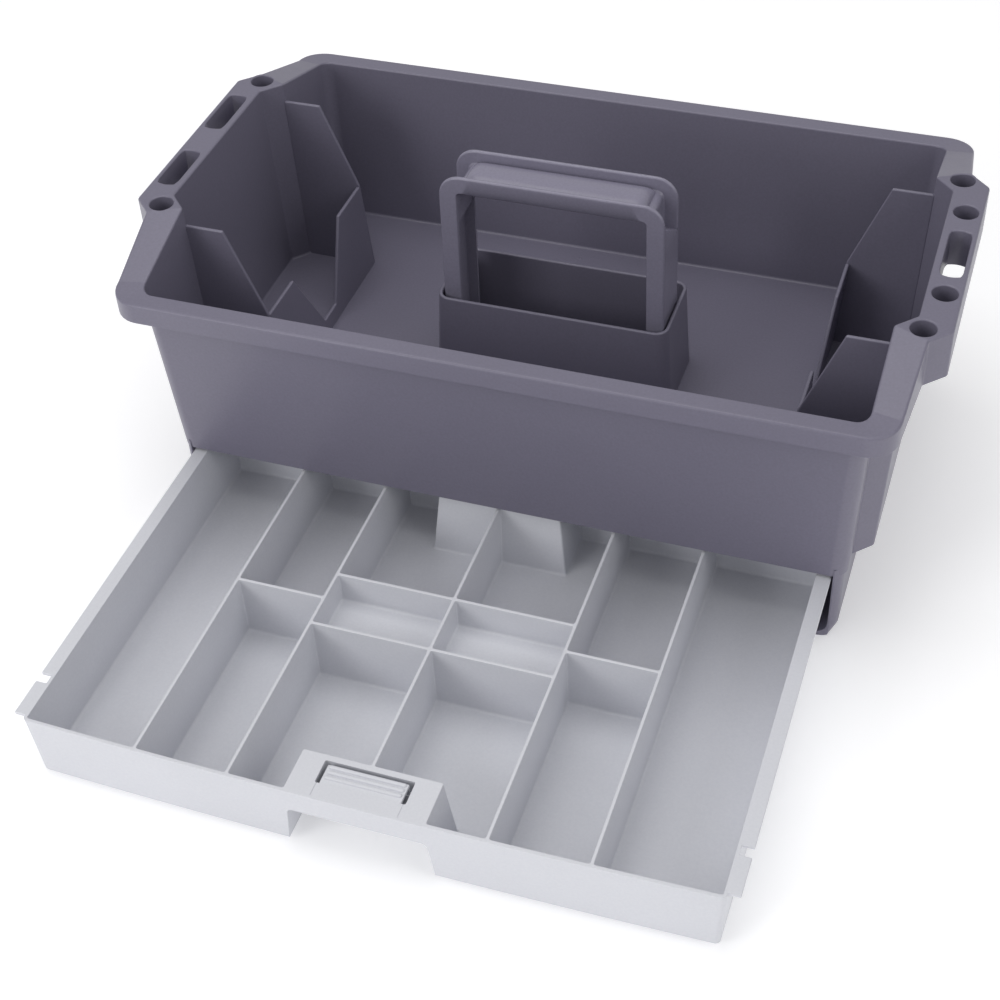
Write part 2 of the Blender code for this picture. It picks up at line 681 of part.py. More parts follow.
def shallow_tray(name, drawer, side):
    """A shallow compartment in the middle: two cross dividers joined by a raised floor."""
    near = DIVIDER / 2 + GAP
    far = MID_DIVIDER_X - DIVIDER / 2 - GAP
    y0, y1 = SHALLOW_CROSS_Y
    foot = DRAWER_WALL + GAP
    x0, x1 = sorted((side * near, side * far))
    front_y, back_y = y0 - DIVIDER / 2, y1 + DIVIDER / 2
    outline = [
        (front_y, foot),
        (front_y, DRAWER_HEIGHT),
        (y0 + DIVIDER / 2, DRAWER_HEIGHT),
        (y0 + DIVIDER / 2, SHALLOW_FLOOR),
        (y1 - DIVIDER / 2, SHALLOW_FLOOR),
        (y1 - DIVIDER / 2, DRAWER_HEIGHT),
        (back_y, DRAWER_HEIGHT),
        (back_y, foot),
        (y1 - DIVIDER / 2, foot),
        (y1 - DIVIDER / 2, SHALLOW_FLOOR - DIVIDER),
        (y0 + DIVIDER / 2, SHALLOW_FLOOR - DIVIDER),
        (y0 + DIVIDER / 2, foot),
    ]
    return add_part(name, outline_mesh("X", x0, x1, outline), drawer, DRAWER_GREY)


def latch_platform(drawer):
    """The block in the drawer's front: a top plate with a window for the latch, over the finger space."""
    x = LATCH_HALF_WIDTH
    solid = box_mesh(-x, x, 0.0, LATCH_DEPTH, 0.0, DRAWER_HEIGHT)
    obj = add_part("latch_platform", solid, drawer, DRAWER_GREY)
    wall = DRAWER_WALL
    under_plate = DRAWER_HEIGHT - wall
    cut(obj, box_mesh(-x + wall, x - wall, wall, LATCH_DEPTH - wall, -CLEAR, under_plate))
    cut(obj, box_mesh(-x + wall, x - wall, -CLEAR, 2 * wall, -CLEAR, FRONT_BAND_BOTTOM))
    window_x = TONGUE_HALF_WIDTH + LATCH_SLOT
    window_back = TONGUE_HINGE_Y + TONGUE_LENGTH + LATCH_SLOT
    window_front = TONGUE_HINGE_Y - 2 * GAP
    cut(obj, box_mesh(-window_x, window_x, window_front, window_back, under_plate - CLEAR, 2 * DRAWER_HEIGHT))
    return obj


def back_bay(drawer):
    """The block in the drawer's back, hollow underneath and behind like the one in front."""
    x = BACK_BAY_HALF_WIDTH
    solid = box_mesh(-x, x, BACK_BAY_FRONT, DRAWER_LENGTH, 0.0, DRAWER_HEIGHT)
    obj = add_part("back_bay", solid, drawer, DRAWER_GREY)
    wall = DRAWER_WALL
    inside = (-x + wall, x - wall, BACK_BAY_FRONT + wall, DRAWER_LENGTH + CLEAR)
    cut(obj, box_mesh(*inside, -CLEAR, DRAWER_HEIGHT - wall))
    return obj


def latch_tongue(hinge):
    """The springy latch: a tongue with ridges across it. Its origin is on its bending line."""
    outline = [(0.0, -TONGUE_THICKNESS), (TONGUE_LENGTH, -TONGUE_THICKNESS), (TONGUE_LENGTH, 0.0)]
    ridge = RIDGE_WIDTH / 2
    for place in RIDGE_PLACES:
        outline += [(place + ridge, 0.0), (place + ridge / 2, RIDGE_HEIGHT)]
        outline += [(place - ridge / 2, RIDGE_HEIGHT), (place - ridge, 0.0)]
    outline.append((0.0, 0.0))
    mesh = outline_mesh("X", -TONGUE_HALF_WIDTH, TONGUE_HALF_WIDTH, outline)
    return add_part("latch_tongue", mesh, hinge, DRAWER_GREY)


def build():
    caddy = empty("caddy_body", (0.0, TUB_Y, 0.0))
    tub_floor(caddy)
    long_wall("front_wall", caddy, -1)
    long_wall("back_wall", caddy, 1)
    for word, side in (("left", -1), ("right", 1)):
        end_wall(f"{word}_end_wall", caddy, side)
        end_hood(f"{word}_end_hood", caddy, side)
        bin_fin(f"{word}_front_bin_fin", caddy, side, -1)
        bin_fin(f"{word}_back_bin_fin", caddy, side, 1)
        bin_wall(f"{word}_bin_wall", caddy, side)
        drawer_runner(f"{word}_drawer_runner", caddy, side)
    rim("front_rim", caddy, -1)
    rim("back_rim", caddy, 1)
    tool_rack("left_tool_rack", caddy, -1, LEFT_HOLES, LEFT_SLOTS)
    tool_rack("right_tool_rack", caddy, 1, RIGHT_HOLES, RIGHT_SLOTS)
    handle_pedestal(caddy)
    carry_handle(caddy)
    handle_grip(caddy)
    housing_back(caddy)

    drawer = empty("drawer_body", (0.0, TUB_Y - DRAWER_REACH, DRAWER_BOTTOM))
    drawer_tray(drawer)
    long_dividers(drawer)
    side_cross_dividers(drawer)
    shallow_tray("left_shallow_tray", drawer, -1)
    shallow_tray("right_shallow_tray", drawer, 1)
    latch_platform(drawer)
    back_bay(drawer)

    hinge = empty("latch_body", (0.0, TONGUE_HINGE_Y, DRAWER_HEIGHT), drawer)
    latch_tongue(hinge)


build()
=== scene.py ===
"""Tool storage caddy: a deep grey tub with tool racks, bins and a carrying handle, and a shallow
light grey parts drawer that slides out from under it."""

import math

import bmesh
import bpy
from mathutils import Matrix, Vector


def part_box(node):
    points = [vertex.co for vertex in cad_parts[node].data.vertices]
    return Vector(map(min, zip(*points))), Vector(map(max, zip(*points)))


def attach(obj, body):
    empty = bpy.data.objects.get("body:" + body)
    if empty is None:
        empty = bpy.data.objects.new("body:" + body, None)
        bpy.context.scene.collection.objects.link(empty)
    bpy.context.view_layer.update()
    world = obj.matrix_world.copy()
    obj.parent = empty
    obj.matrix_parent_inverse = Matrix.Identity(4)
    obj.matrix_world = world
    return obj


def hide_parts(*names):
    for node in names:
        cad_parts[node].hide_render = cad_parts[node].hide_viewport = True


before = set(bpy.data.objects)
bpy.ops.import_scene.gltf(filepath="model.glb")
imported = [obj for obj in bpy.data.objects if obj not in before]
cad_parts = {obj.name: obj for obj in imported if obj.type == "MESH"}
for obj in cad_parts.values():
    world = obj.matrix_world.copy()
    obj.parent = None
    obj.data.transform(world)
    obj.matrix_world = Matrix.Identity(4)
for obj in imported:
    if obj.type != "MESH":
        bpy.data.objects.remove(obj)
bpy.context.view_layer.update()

# The table and the light. The caddy stands on a plain pale table top that runs out of sight, under
# three broad soft lamps, overhead, at its front left and at its right, in an even white surround.
TABLE_HALF = 6.0
TABLE_COLOUR = (0.93, 0.93, 0.94)
TABLE_ROUGHNESS = 0.85
TABLE_SHADE = 0.99         # how dark its faint clouding is, and the clouding's scale
TABLE_CLOUDS = 1.5
TABLE_GLOW = 0.27
TABLE_DROP = 0.0002        # how far the table lies below the caddy's feet
SURROUND_STRENGTH = 0.48
LIGHTS = {
    "overhead": ((-0.20, 0.10, 1.70), (0.0, 0.05, 0.0), 1.3, 9.8),
    "front_left": ((-1.05, -1.50, 1.00), (0.0, 0.0, 0.08), 0.9, 10.8),
    "right": ((1.55, -0.55, 1.10), (0.0, 0.0, 0.08), 1.0, 5.0),
}


def table_material():
    made = bpy.data.materials.new("table_top")
    made.use_nodes = True
    nodes, links = made.node_tree.nodes, made.node_tree.links
    shader = nodes["Principled BSDF"]
    shader.inputs["Roughness"].default_value = TABLE_ROUGHNESS
    shader.inputs["Emission Color"].default_value = (1.0, 1.0, 1.0, 1.0)
    shader.inputs["Emission Strength"].default_value = TABLE_GLOW
    place = nodes.new("ShaderNodeTexCoord")
    cloud = nodes.new("ShaderNodeTexNoise")
    cloud.inputs["Scale"].default_value = TABLE_CLOUDS
    tone = nodes.new("ShaderNodeMix")
    tone.data_type = "RGBA"
    tone.inputs["A"].default_value = (*TABLE_COLOUR, 1.0)
    tone.inputs["B"].default_value = (*[TABLE_SHADE * c for c in TABLE_COLOUR], 1.0)
    links.new(place.outputs["Object"], cloud.inputs["Vector"])
    links.new(cloud.outputs["Fac"], tone.inputs["Factor"])
    links.new(tone.outputs["Result"], shader.inputs["Base Color"])
    return made


table_mesh = bpy.data.meshes.new("table_top")
far = TABLE_HALF
table_corners = [(-far, -far, 0), (far, -far, 0), (far, far, 0), (-far, far, 0)]
table_mesh.from_pydata(table_corners, [], [(0, 1, 2, 3)])
table_top = bpy.data.objects.new("table_top", table_mesh)
table_top.location.z = -TABLE_DROP
table_mesh.materials.append(table_material())
bpy.context.scene.collection.objects.link(table_top)

for name, (place, aim, size, power) in LIGHTS.items():
    lamp = bpy.data.lights.new(name, "AREA")
    lamp.size = size
    lamp.energy = power
    holder = bpy.data.objects.new(name, lamp)
    holder.location = place
    holder.rotation_euler = (Vector(aim) - Vector(place)).to_track_quat("-Z", "Y").to_euler()
    bpy.context.scene.collection.objects.link(holder)

surround = bpy.data.worlds.new("white_surround")
surround.use_nodes = True
surround.node_tree.nodes["Background"].inputs["Color"].default_value = (1.0, 1.0, 1.0, 1.0)
surround.node_tree.nodes["Background"].inputs["Strength"].default_value = SURROUND_STRENGTH
bpy.context.scene.world = surround
bpy.context.scene.view_settings.view_transform = "Standard"

# The viewpoint: above the front right corner, looking down on the open tub and the open drawer.
EYE = (0.2599, -0.69845, 0.7274)
EYE_RIGHT = (0.9463, 0.3206, -0.0410)
EYE_UP = (-0.1907, 0.6564, 0.7297)
EYE_BACK = (0.2609, -0.6828, 0.6824)
LENS = 63.8

view = bpy.data.cameras.new("view")
view.lens = LENS
camera = bpy.data.objects.new("view", view)
turn = Matrix((EYE_RIGHT, EYE_UP, EYE_BACK)).transposed().normalized()
camera.matrix_world = Matrix.Translation(EYE) @ turn.to_4x4()
bpy.context.scene.collection.objects.link(camera)
bpy.context.scene.camera = camera

# The tub: one large moulding in dark grey polypropylene. Its walls lean inwards to the floor, and
# their top turns outwards into a flat rim, which rises at both ends to form the tool racks.
tub_low, tub_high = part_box("tub_floor")
TUB_Y = (tub_low.y + tub_high.y) / 2
FLOOR_TOP = tub_high.z
FLOOR_BOTTOM = tub_low.z
RACK_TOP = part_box("left_tool_rack")[1].z
RIM_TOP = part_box("front_rim")[1].z
WALL = 0.0022
PLATE = 0.0025
SKIRT_BOTTOM = 0.1480
WALL_BOTTOM = 0.0460
END_INSIDE = 0.1984        # half the inner length beside the bins, at the racks
BAY_INSIDE = 0.2091        # the same where the end wall steps out between the bin fins
FRONT_INSIDE = 0.1288      # half the inner depth, at the rim
END_LEAN = 0.0350          # inward lean for each metre down
BAY_LEAN = 0.0423
FRONT_LEAN = 0.0654
BAY_HALF = 0.0587
FIN_Y = 0.0697
INNER_CORNER = 0.0070
RACK_X = 0.2280
RACK_HALF = 0.0670
SHOULDER = (0.2170, 0.0780)
RIM_CORNER = (0.2130, 0.1404)
RIM_RADIUS = 0.0165
JOG_RADIUS = 0.0030
INNER_ROLL = 0.0011        # rounding along the rim's inner and outer edges
OUTER_ROLL = 0.0014
EDGE_ROLL = 0.0006
FLOOR_FILLET = 0.0016
HAIR = 0.0001              # a hair's gap that keeps two corners of an outline apart
SHARP_FROM = 38            # degrees: a crease at least this sharp isn't shaded smooth
TUB_COLOUR = (0.172, 0.162, 0.218)
TUB_ROUGHNESS = 0.36
TUB_GRAIN = 0.30


def round_corners(corners):
    """Points round a closed outline, from corners (x, y, z, radius, steps)."""
    points = []
    for i, (x, y, z, radius, steps) in enumerate(corners):
        corner = Vector((x, y))
        x0, y0, z0 = corners[i - 1][:3]
        x1, y1, z1 = corners[(i + 1) % len(corners)][:3]
        along, away = corner - Vector((x0, y0)), Vector((x1, y1)) - corner
        rise_in, rise_out = (z - z0) / along.length, (z1 - z) / away.length
        along.normalize()
        away.normalize()
        bend = math.atan2(along.cross(away), along.dot(away))
        if steps == 0 or abs(bend) < 1e-4:
            points += [(x, y, z)] * (steps + 1)
            continue
        side = math.copysign(1.0, bend)
        reach = radius * math.tan(abs(bend) / 2)
        middle = corner - along * reach + Vector((-along.y, along.x)) * side * radius
        spoke = corner - along * reach - middle
        for step in range(steps + 1):
            spot = middle + Matrix.Rotation(bend * step / steps, 2) @ spoke
            height = z + rise_out * max(0.0, (spot - corner).dot(away))
            height -= rise_in * max(0.0, (corner - spot).dot(along))
            points.append((spot.x, spot.y, height))
    return points


def grown(corners, by):
    """The outline moved outwards by a distance, or inwards by a negative one."""
    moved = []
    for i, (x, y, z, radius, steps) in enumerate(corners):
        corner = Vector((x, y))
        along = (corner - Vector(corners[i - 1][:2])).normalized()
        away = (Vector(corners[(i + 1) % len(corners)][:2]) - corner).normalized()
        out_a, out_b = Vector((along.y, -along.x)), Vector((away.y, -away.x))
        corner += (out_a + out_b) * by / (1 + out_a.dot(out_b))
        swell = by if along.cross(away) > 0 else -by
        moved.append((corner.x, corner.y, z, max(radius + swell, HAIR), steps))
    return moved


def all_round(quarter):
    """A quarter outline in the +X +Y quarter, carried round the other three."""
    half = quarter + [(-x, y, z, r, n) for x, y, z, r, n in reversed(quarter)]
    return half + [(-x, -y, z, r, n) for x, y, z, r, n in half]


def loft(name, rings):
    """A skin over a row of matching rings, closed at both ends."""
    shape = bmesh.new()
    rows = [[shape.verts.new(point) for point in ring] for ring in rings]
    for low, high in zip(rows, rows[1:]):
        for i in range(len(low)):
            j = (i + 1) % len(low)
            shape.faces.new((low[i], low[j], high[j], high[i]))
    shape.faces.new(rows[0])
    shape.faces.new(rows[-1])
    bmesh.ops.remove_doubles(shape, verts=shape.verts, dist=1e-6)
    bmesh.ops.recalc_face_normals(shape, faces=shape.faces)
    mesh = bpy.data.meshes.new(name)
    shape.to_mesh(mesh)
    shape.free()
    return mesh


def roll(radius, steps=4):
    """Offsets (across, down) for a rounded edge, from the side face up and over to the top one."""
    turns = [math.radians(90 * step / steps) for step in range(steps + 1)]
    return [(radius * (1 - math.cos(turn)), radius * (1 - math.sin(turn))) for turn in turns]


def add_piece(name, mesh, shift, material, body, slot, *nodes):
    """Puts a finished mesh in the model: in its place, shaded, riding on its body."""
    mesh.transform(Matrix.Translation(shift))
    mesh.polygons.foreach_set("use_smooth", [True] * len(mesh.polygons))
    mesh.set_sharp_from_angle(angle=math.radians(SHARP_FROM))
    mesh.materials.clear()
    mesh.materials.append(material)
    piece = bpy.data.objects.new(name, mesh)
    bpy.context.scene.collection.objects.link(piece)
    even = piece.modifiers.new("even_shading", "WEIGHTED_NORMAL")
    even.keep_sharp = True
    even.weight = 100
    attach(piece, body)
    if nodes:
        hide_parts(*nodes)
    return piece


def shaped(mesh, tools, kind="DIFFERENCE"):
    """The mesh after cutting the tools out of it, or joining them to it."""
    body = bpy.data.objects.new("being_cut", mesh)
    bpy.context.scene.collection.objects.link(body)
    helpers = []
    for tool in tools:
        helper = bpy.data.objects.new("tool", tool)
        bpy.context.scene.collection.objects.link(helper)
        helpers.append(helper)
        step = body.modifiers.new("cut", "BOOLEAN")
        step.operation = kind
        step.solver = "EXACT"
        step.object = helper
    bpy.context.view_layer.update()
    graph = bpy.context.evaluated_depsgraph_get()
    done = bpy.data.meshes.new_from_object(body.evaluated_get(graph))
    for used in [body, *helpers]:
        bpy.data.objects.remove(used, do_unlink=True)
    return done


SPECULAR = 0.45
TONE_SPREAD = 0.06         # lighter and darker clouds in the colour
TONE_SCALE = 9.0
FLECK_SHARE = 0.10         # fine flecks over them
FLECK_SCALE = 700.0
SHEEN_SPREAD = 0.05        # patches where the surface is smoother or rougher
SHEEN_SCALE = 60.0
GRAIN_SCALE = 1600.0       # the grain itself
GRAIN_HEIGHT = 0.0001


def moulded_plastic(name, colour, roughness, grain):
    """Injection-moulded polypropylene with the fine matt grain of a spark-eroded mould."""
    made = bpy.data.materials.new(name)
    made.use_nodes = True
    nodes, links = made.node_tree.nodes, made.node_tree.links
    shader = nodes["Principled BSDF"]
    shader.inputs["Specular IOR Level"].default_value = SPECULAR
    place = nodes.new("ShaderNodeTexCoord")

    def noise(scale, detail):
        made_noise = nodes.new("ShaderNodeTexNoise")
        made_noise.inputs["Scale"].default_value = scale
        made_noise.inputs["Detail"].default_value = detail
        links.new(place.outputs["Object"], made_noise.inputs["Vector"])
        return made_noise.outputs["Fac"]

    tone = nodes.new("ShaderNodeMix")
    tone.data_type = "RGBA"
    tone.inputs["A"].default_value = (*[(1 - TONE_SPREAD) * c for c in colour], 1.0)
    tone.inputs["B"].default_value = (*[(1 + TONE_SPREAD) * c for c in colour], 1.0)
    links.new(noise(TONE_SCALE, 3.0), tone.inputs["Factor"])
    fleck = nodes.new("ShaderNodeMix")
    fleck.data_type = "RGBA"
    fleck.blend_type = "OVERLAY"
    fleck.inputs["Factor"].default_value = FLECK_SHARE
    links.new(tone.outputs["Result"], fleck.inputs["A"])
    links.new(noise(FLECK_SCALE, 2.0), fleck.inputs["B"])
    links.new(fleck.outputs["Result"], shader.inputs["Base Color"])
    sheen = nodes.new("ShaderNodeMapRange")
    sheen.inputs["To Min"].default_value = roughness - SHEEN_SPREAD
    sheen.inputs["To Max"].default_value = roughness + SHEEN_SPREAD
    links.new(noise(SHEEN_SCALE, 2.0), sheen.inputs["Value"])
    links.new(sheen.outputs["Result"], shader.inputs["Roughness"])
    texture = nodes.new("ShaderNodeBump")
    texture.inputs["Strength"].default_value = grain
    texture.inputs["Distance"].default_value = GRAIN_HEIGHT
    links.new(noise(GRAIN_SCALE, 3.0), texture.inputs["Height"])
    links.new(texture.outputs["Normal"], shader.inputs["Normal"])
    return made


def end_inside(z):
    return END_INSIDE - (RACK_TOP - z) * END_LEAN


def bay_inside(z):
    return BAY_INSIDE - (RACK_TOP - z) * BAY_LEAN


def front_inside(z):
    return FRONT_INSIDE - (RIM_TOP - z) * FRONT_LEAN


def plate_top(x, y):
    """Height of the top at a place: level along a rack, then sloping down to the rim."""
    start = FIN_Y + (abs(x) - END_INSIDE) * (SHOULDER[1] - FIN_Y) / (SHOULDER[0] - END_INSIDE)
    share = (abs(y) - start) / (FRONT_INSIDE - start)
    return RACK_TOP - (RACK_TOP - RIM_TOP) * min(max(share, 0.0), 1.0)


def bore(height=None, drop=0.0):
    """The tub's inside in plan, at one height, or at a drop below its top all the way round."""
    corner_y = FRONT_INSIDE - INNER_CORNER
    heights = [height] * 4 if height else [
        plate_top(END_INSIDE, y) - drop for y in (0.0, FIN_Y, corner_y, FRONT_INSIDE)
    ]
    bay_z, jog_z, corner_z, front_z = heights
    y = front_inside(front_z)
    return all_round([
        (bay_inside(bay_z), BAY_HALF, bay_z, JOG_RADIUS, 3),
        (end_inside(jog_z), FIN_Y, jog_z, JOG_RADIUS, 3),
        (end_inside(corner_z), y - INNER_CORNER - HAIR, corner_z, 0.0, 0),
        (end_inside(front_z), y, front_z, INNER_CORNER, 8),
    ])


def outside(height=None, drop=0.0):
    """The rim's and the racks' outline in plan, at one height, or at a drop below their top."""
    x, y = RIM_CORNER
    knee_x = SHOULDER[0] + (x - SHOULDER[0]) * (FRONT_INSIDE - SHOULDER[1]) / (y - SHOULDER[1])
    knee_y = min(FRONT_INSIDE, y - RIM_RADIUS - HAIR)
    rack_z = height or RACK_TOP - drop
    rim_z = height or RIM_TOP - drop
    knee_z = height or plate_top(knee_x, knee_y) - drop
    return all_round([
        (RACK_X, RACK_HALF, rack_z, JOG_RADIUS, 3),
        (*SHOULDER, rack_z, JOG_RADIUS, 3),
        (knee_x, knee_y, knee_z, 0.0, 0),
        (x, y, rim_z, RIM_RADIUS, 8),
    ])


def tub_rings():
    """The tub's skin: from the floor up inside, over the rim, down the skirt and in underneath."""
    fillet = reversed(roll(FLOOR_FILLET))
    rings = [grown(bore(FLOOR_TOP + down), -across) for across, down in fillet]
    rings.append(bore(drop=INNER_ROLL))
    rings += [grown(bore(drop=down), across) for across, down in roll(INNER_ROLL)[1:]]
    rings += [grown(outside(drop=down), -across) for across, down in reversed(roll(OUTER_ROLL))]
    edge = roll(EDGE_ROLL, 2)
    rings += [grown(outside(SKIRT_BOTTOM + down), -across) for across, down in edge]
    rings += [grown(outside(SKIRT_BOTTOM + down), across - WALL) for across, down in reversed(edge)]
    rings.append(grown(outside(drop=PLATE), -WALL))
    rings.append(grown(bore(drop=PLATE), WALL))
    rings.append(grown(bore(WALL_BOTTOM + EDGE_ROLL), WALL))
    rings.append(grown(bore(WALL_BOTTOM), WALL - EDGE_ROLL))
    rings.append(grown(bore(WALL_BOTTOM), EDGE_ROLL))
    rings.append(bore(FLOOR_BOTTOM))
    return [round_corners(ring) for ring in rings]


# Holes (x, y) and slots (x, front end, back end) for hand tools, through the racks' top.
HOLE_RADIUS = 0.0068
SLOT_HALF = 0.0060
SLOT_SQUARE = 0.38         # how far a slot's ends are from round to square
LIP_ROLL = 0.0009
SLEEVE_DEPTH = 0.0220      # how far the openings' sleeves hang below the top
SLEEVE_WALL = 0.0013
LIP_SPREAD = 0.0003        # the lip reaches this far past its cut, and this far below the top
LIP_SUNK = 0.0006
SLEEVE_DROP = 0.0010       # from the rack plate's underside to where the sleeve is full width
CUT_BELOW = 0.0080         # the cut through the rack, below and above its top
CUT_ABOVE = 0.0040
HOLE_SPLIT = 0.00005       # a hole is drawn as a slot this short to each side
OPENING_STEPS = 16
HOLES = (
    (-0.2122, -0.0685), (-0.2128, 0.0705),
    (0.2128, -0.0685), (0.2188, -0.0365), (0.2188, 0.0395), (0.2128, 0.0705),
)
SLOTS = ((-0.2192, -0.0500, -0.0135), (-0.2192, 0.0120, 0.0510), (0.2192, -0.0215, 0.0210))


def opening_line(shape, wider=0.0, height=None, drop=0.0):
    """A slot in plan, or a round hole where its two ends meet."""
    x, y_front, y_back, half, square = shape
    half += wider
    points = []
    for middle, start in ((y_back, 0), (y_front, 180)):
        for step in range(OPENING_STEPS + 1):
            angle = math.radians(start + 180 * step / OPENING_STEPS)
            u, v = math.cos(angle), math.sin(angle)
            push = half * (1 - square + square / max(abs(u), abs(v)))
            u, v = x + u * push, middle + v * push
            points.append((u, v, height if height else plate_top(u, v) - drop))
    return points


def opening_shape(opening):
    """An opening as (x, centres of its front and back ends, half-width, squareness)."""
    if len(opening) == 2:
        x, y = opening
        return x, y - HOLE_SPLIT, y + HOLE_SPLIT, HOLE_RADIUS, 0.0
    x, front, back = opening
    return x, front + SLOT_HALF, back - SLOT_HALF, SLOT_HALF, SLOT_SQUARE


def opening_cutter(opening):
    shape = opening_shape(opening)
    heights = (RACK_TOP - CUT_BELOW, RACK_TOP + CUT_ABOVE)
    return loft("opening", [opening_line(shape, LIP_ROLL, z) for z in heights])


def tube(name, rings):
    """A skin over a row of matching rings that joins up with itself."""
    shape = bmesh.new()
    rows = [[shape.verts.new(point) for point in ring] for ring in rings]
    for low, high in zip(rows, rows[1:] + rows[:1]):
        for i in range(len(low)):
            j = (i + 1) % len(low)
            shape.faces.new((low[i], low[j], high[j], high[i]))
    bmesh.ops.remove_doubles(shape, verts=shape.verts, dist=1e-7)
    bmesh.ops.recalc_face_normals(shape, faces=shape.faces)
    mesh = bpy.data.meshes.new(name)
    shape.to_mesh(mesh)
    shape.free()
    return mesh


def opening_sleeve(opening):
    """An opening's rounded lip and the sleeve under it: a closed round socket, or an open slot."""
    shape = opening_shape(opening)
    low, wide = RACK_TOP - SLEEVE_DEPTH, SLEEVE_WALL
    rings = [opening_line(shape, 0.0, low)]
    rings += [opening_line(shape, across, drop=down) for across, down in roll(LIP_ROLL)]
    rings.append(opening_line(shape, LIP_ROLL + LIP_SPREAD, drop=LIP_SUNK))
    rings.append(opening_line(shape, wide, RACK_TOP - PLATE - SLEEVE_DROP))
    if len(opening) == 2:
        return loft("socket", rings + [opening_line(shape, wide, low - SLEEVE_WALL)])
    return tube("sleeve", rings + [opening_line(shape, wide, low)])


def merged(meshes):
    """Several meshes as one."""
    shape = bmesh.new()
    for mesh in meshes:
        shape.from_mesh(mesh)
    whole = bpy.data.meshes.new("merged")
    shape.to_mesh(whole)
    shape.free()
    return whole


tub_plastic = moulded_plastic("tub_plastic", TUB_COLOUR, TUB_ROUGHNESS, TUB_GRAIN)
tub_shift = (0.0, TUB_Y, 0.0)
tub_shell = shaped(loft("tub_shell", tub_rings()), [opening_cutter(o) for o in HOLES + SLOTS])
tub_shell = merged([tub_shell] + [opening_sleeve(o) for o in HOLES + SLOTS])
add_piece(
    "tub_shell", tub_shell, tub_shift, tub_plastic, "caddy", "tub_plastic",
    "tub_floor", "front_wall", "back_wall", "left_end_wall", "right_end_wall",
    "front_rim", "back_rim", "left_tool_rack", "right_tool_rack",
)

# The gate mark: the little round nub that the moulding's sprue leaves on the tub's floor.
GATE_PLACE = (-0.0220, 0.1100)
GATE_RADIUS = 0.0013
GATE_HIGH = 0.0003
GATE_RINGS = (             # share of the radius, height: a nub with a dimple in its top
    (1.0, -0.0002), (1.0, 0.0), (0.8, GATE_HIGH), (0.45, GATE_HIGH), (0.35, -0.00005),
)


def gate_mark_mesh():
    x, y = GATE_PLACE
    rings = []
    for share, z in GATE_RINGS:
        ring = []
        for step in range(24):
            turn, radius = math.radians(15 * step), GATE_RADIUS * share
            ring.append((x + radius * math.cos(turn), y + radius * math.sin(turn), FLOOR_TOP + z))
        rings.append(ring)
    return loft("gate_mark", rings)


add_piece("gate_mark", gate_mark_mesh(), tub_shift, tub_plastic, "caddy", "tub_plastic")

# The end hoods: each end wall is boxed out under its rack, in the same moulding, so that the rack
# is carried along its whole length. The face is flat, with a sloping side at the front and back.
HOOD_PROUD = 0.00235       # outer face, beyond the bay's inner face
HOOD_WALL = 0.0018
HOOD_HALF = 0.0985
HOOD_SIDE = 0.0115
HOOD_BOTTOM = 0.0510
HOOD_TURN = 0.0030


def hood_mesh(side):
    """The boxing's sections, from its front end round to its back end."""
    far_y = HOOD_HALF + HOOD_SIDE
    corners = [
        (0.0, -HOOD_HALF, 0.0, HOOD_TURN, 5), (0.0, HOOD_HALF, 0.0, HOOD_TURN, 5),
        (-HOOD_SIDE, far_y, 0.0, 0.0, 0), (-HOOD_SIDE, -far_y, 0.0, 0.0, 0),
    ]
    line = round_corners(corners)
    path = [line[-1]] + line[:-1]
    rings = []
    for i, (x, y, _) in enumerate(path):
        before, after = path[max(i - 1, 0)], path[min(i + 1, len(path) - 1)]
        along = Vector((after[0] - before[0], after[1] - before[1])).normalized()
        out = Vector((along.y, -along.x))

        def spot(inward, z):
            face = bay_inside(z) + HOOD_PROUD + x
            return side * (face - out.x * inward), y - out.y * inward, z

        top = plate_top(bay_inside(RACK_TOP), y) - PLATE / 2
        e, foot = EDGE_ROLL, HOOD_BOTTOM
        rings.append([
            spot(0.0, top), spot(0.0, foot + e), spot(e / 3, foot + e / 3), spot(e, foot),
            spot(HOOD_WALL - e, foot), spot(HOOD_WALL - e / 3, foot + e / 3),
            spot(HOOD_WALL, foot + e), spot(HOOD_WALL, top),
        ])
    return loft("hood", rings)


def socket_cutter(hole):
    """The space that a round socket needs in the boxing."""
    shape = opening_shape(hole)
    heights = (RACK_TOP - SLEEVE_DEPTH - SLEEVE_WALL / 2, RACK_TOP + CUT_ABOVE)
    return loft("socket", [opening_line(shape, SLEEVE_WALL / 2, z) for z in heights])


for side, name in ((-1, "left_end_hood"), (1, "right_end_hood")):
    boxing = shaped(hood_mesh(side), [socket_cutter(hole) for hole in HOLES if hole[0] * side > 0])
    add_piece(f"{name}_boxing", boxing, tub_shift, tub_plastic, "caddy", "tub_plastic", name)

# The bins: at each end two tall fins with a slanting free edge stand out from the wall, and a low
# wall with a V-shaped notch for the fingers joins them. All are 2 mm walls of the tub moulding.
FIN_TOP = 0.1655
FIN_TOP_X = 0.1755
FIN_KNEE = (0.1545, 0.1115)
FIN_FOOT_X = 0.1495
BIN_TOP = 0.1110
BIN_TOP_X = 0.1552
BIN_FOOT_X = 0.1506
NOTCH = ((0.0085, 0.0630), (0.0350, 0.1110))
FIN_ROLL = 0.0008
PLATE_CORNER = 0.0012
SUNK = 0.0010              # how far a wall's foot reaches into the floor or the wall beside it


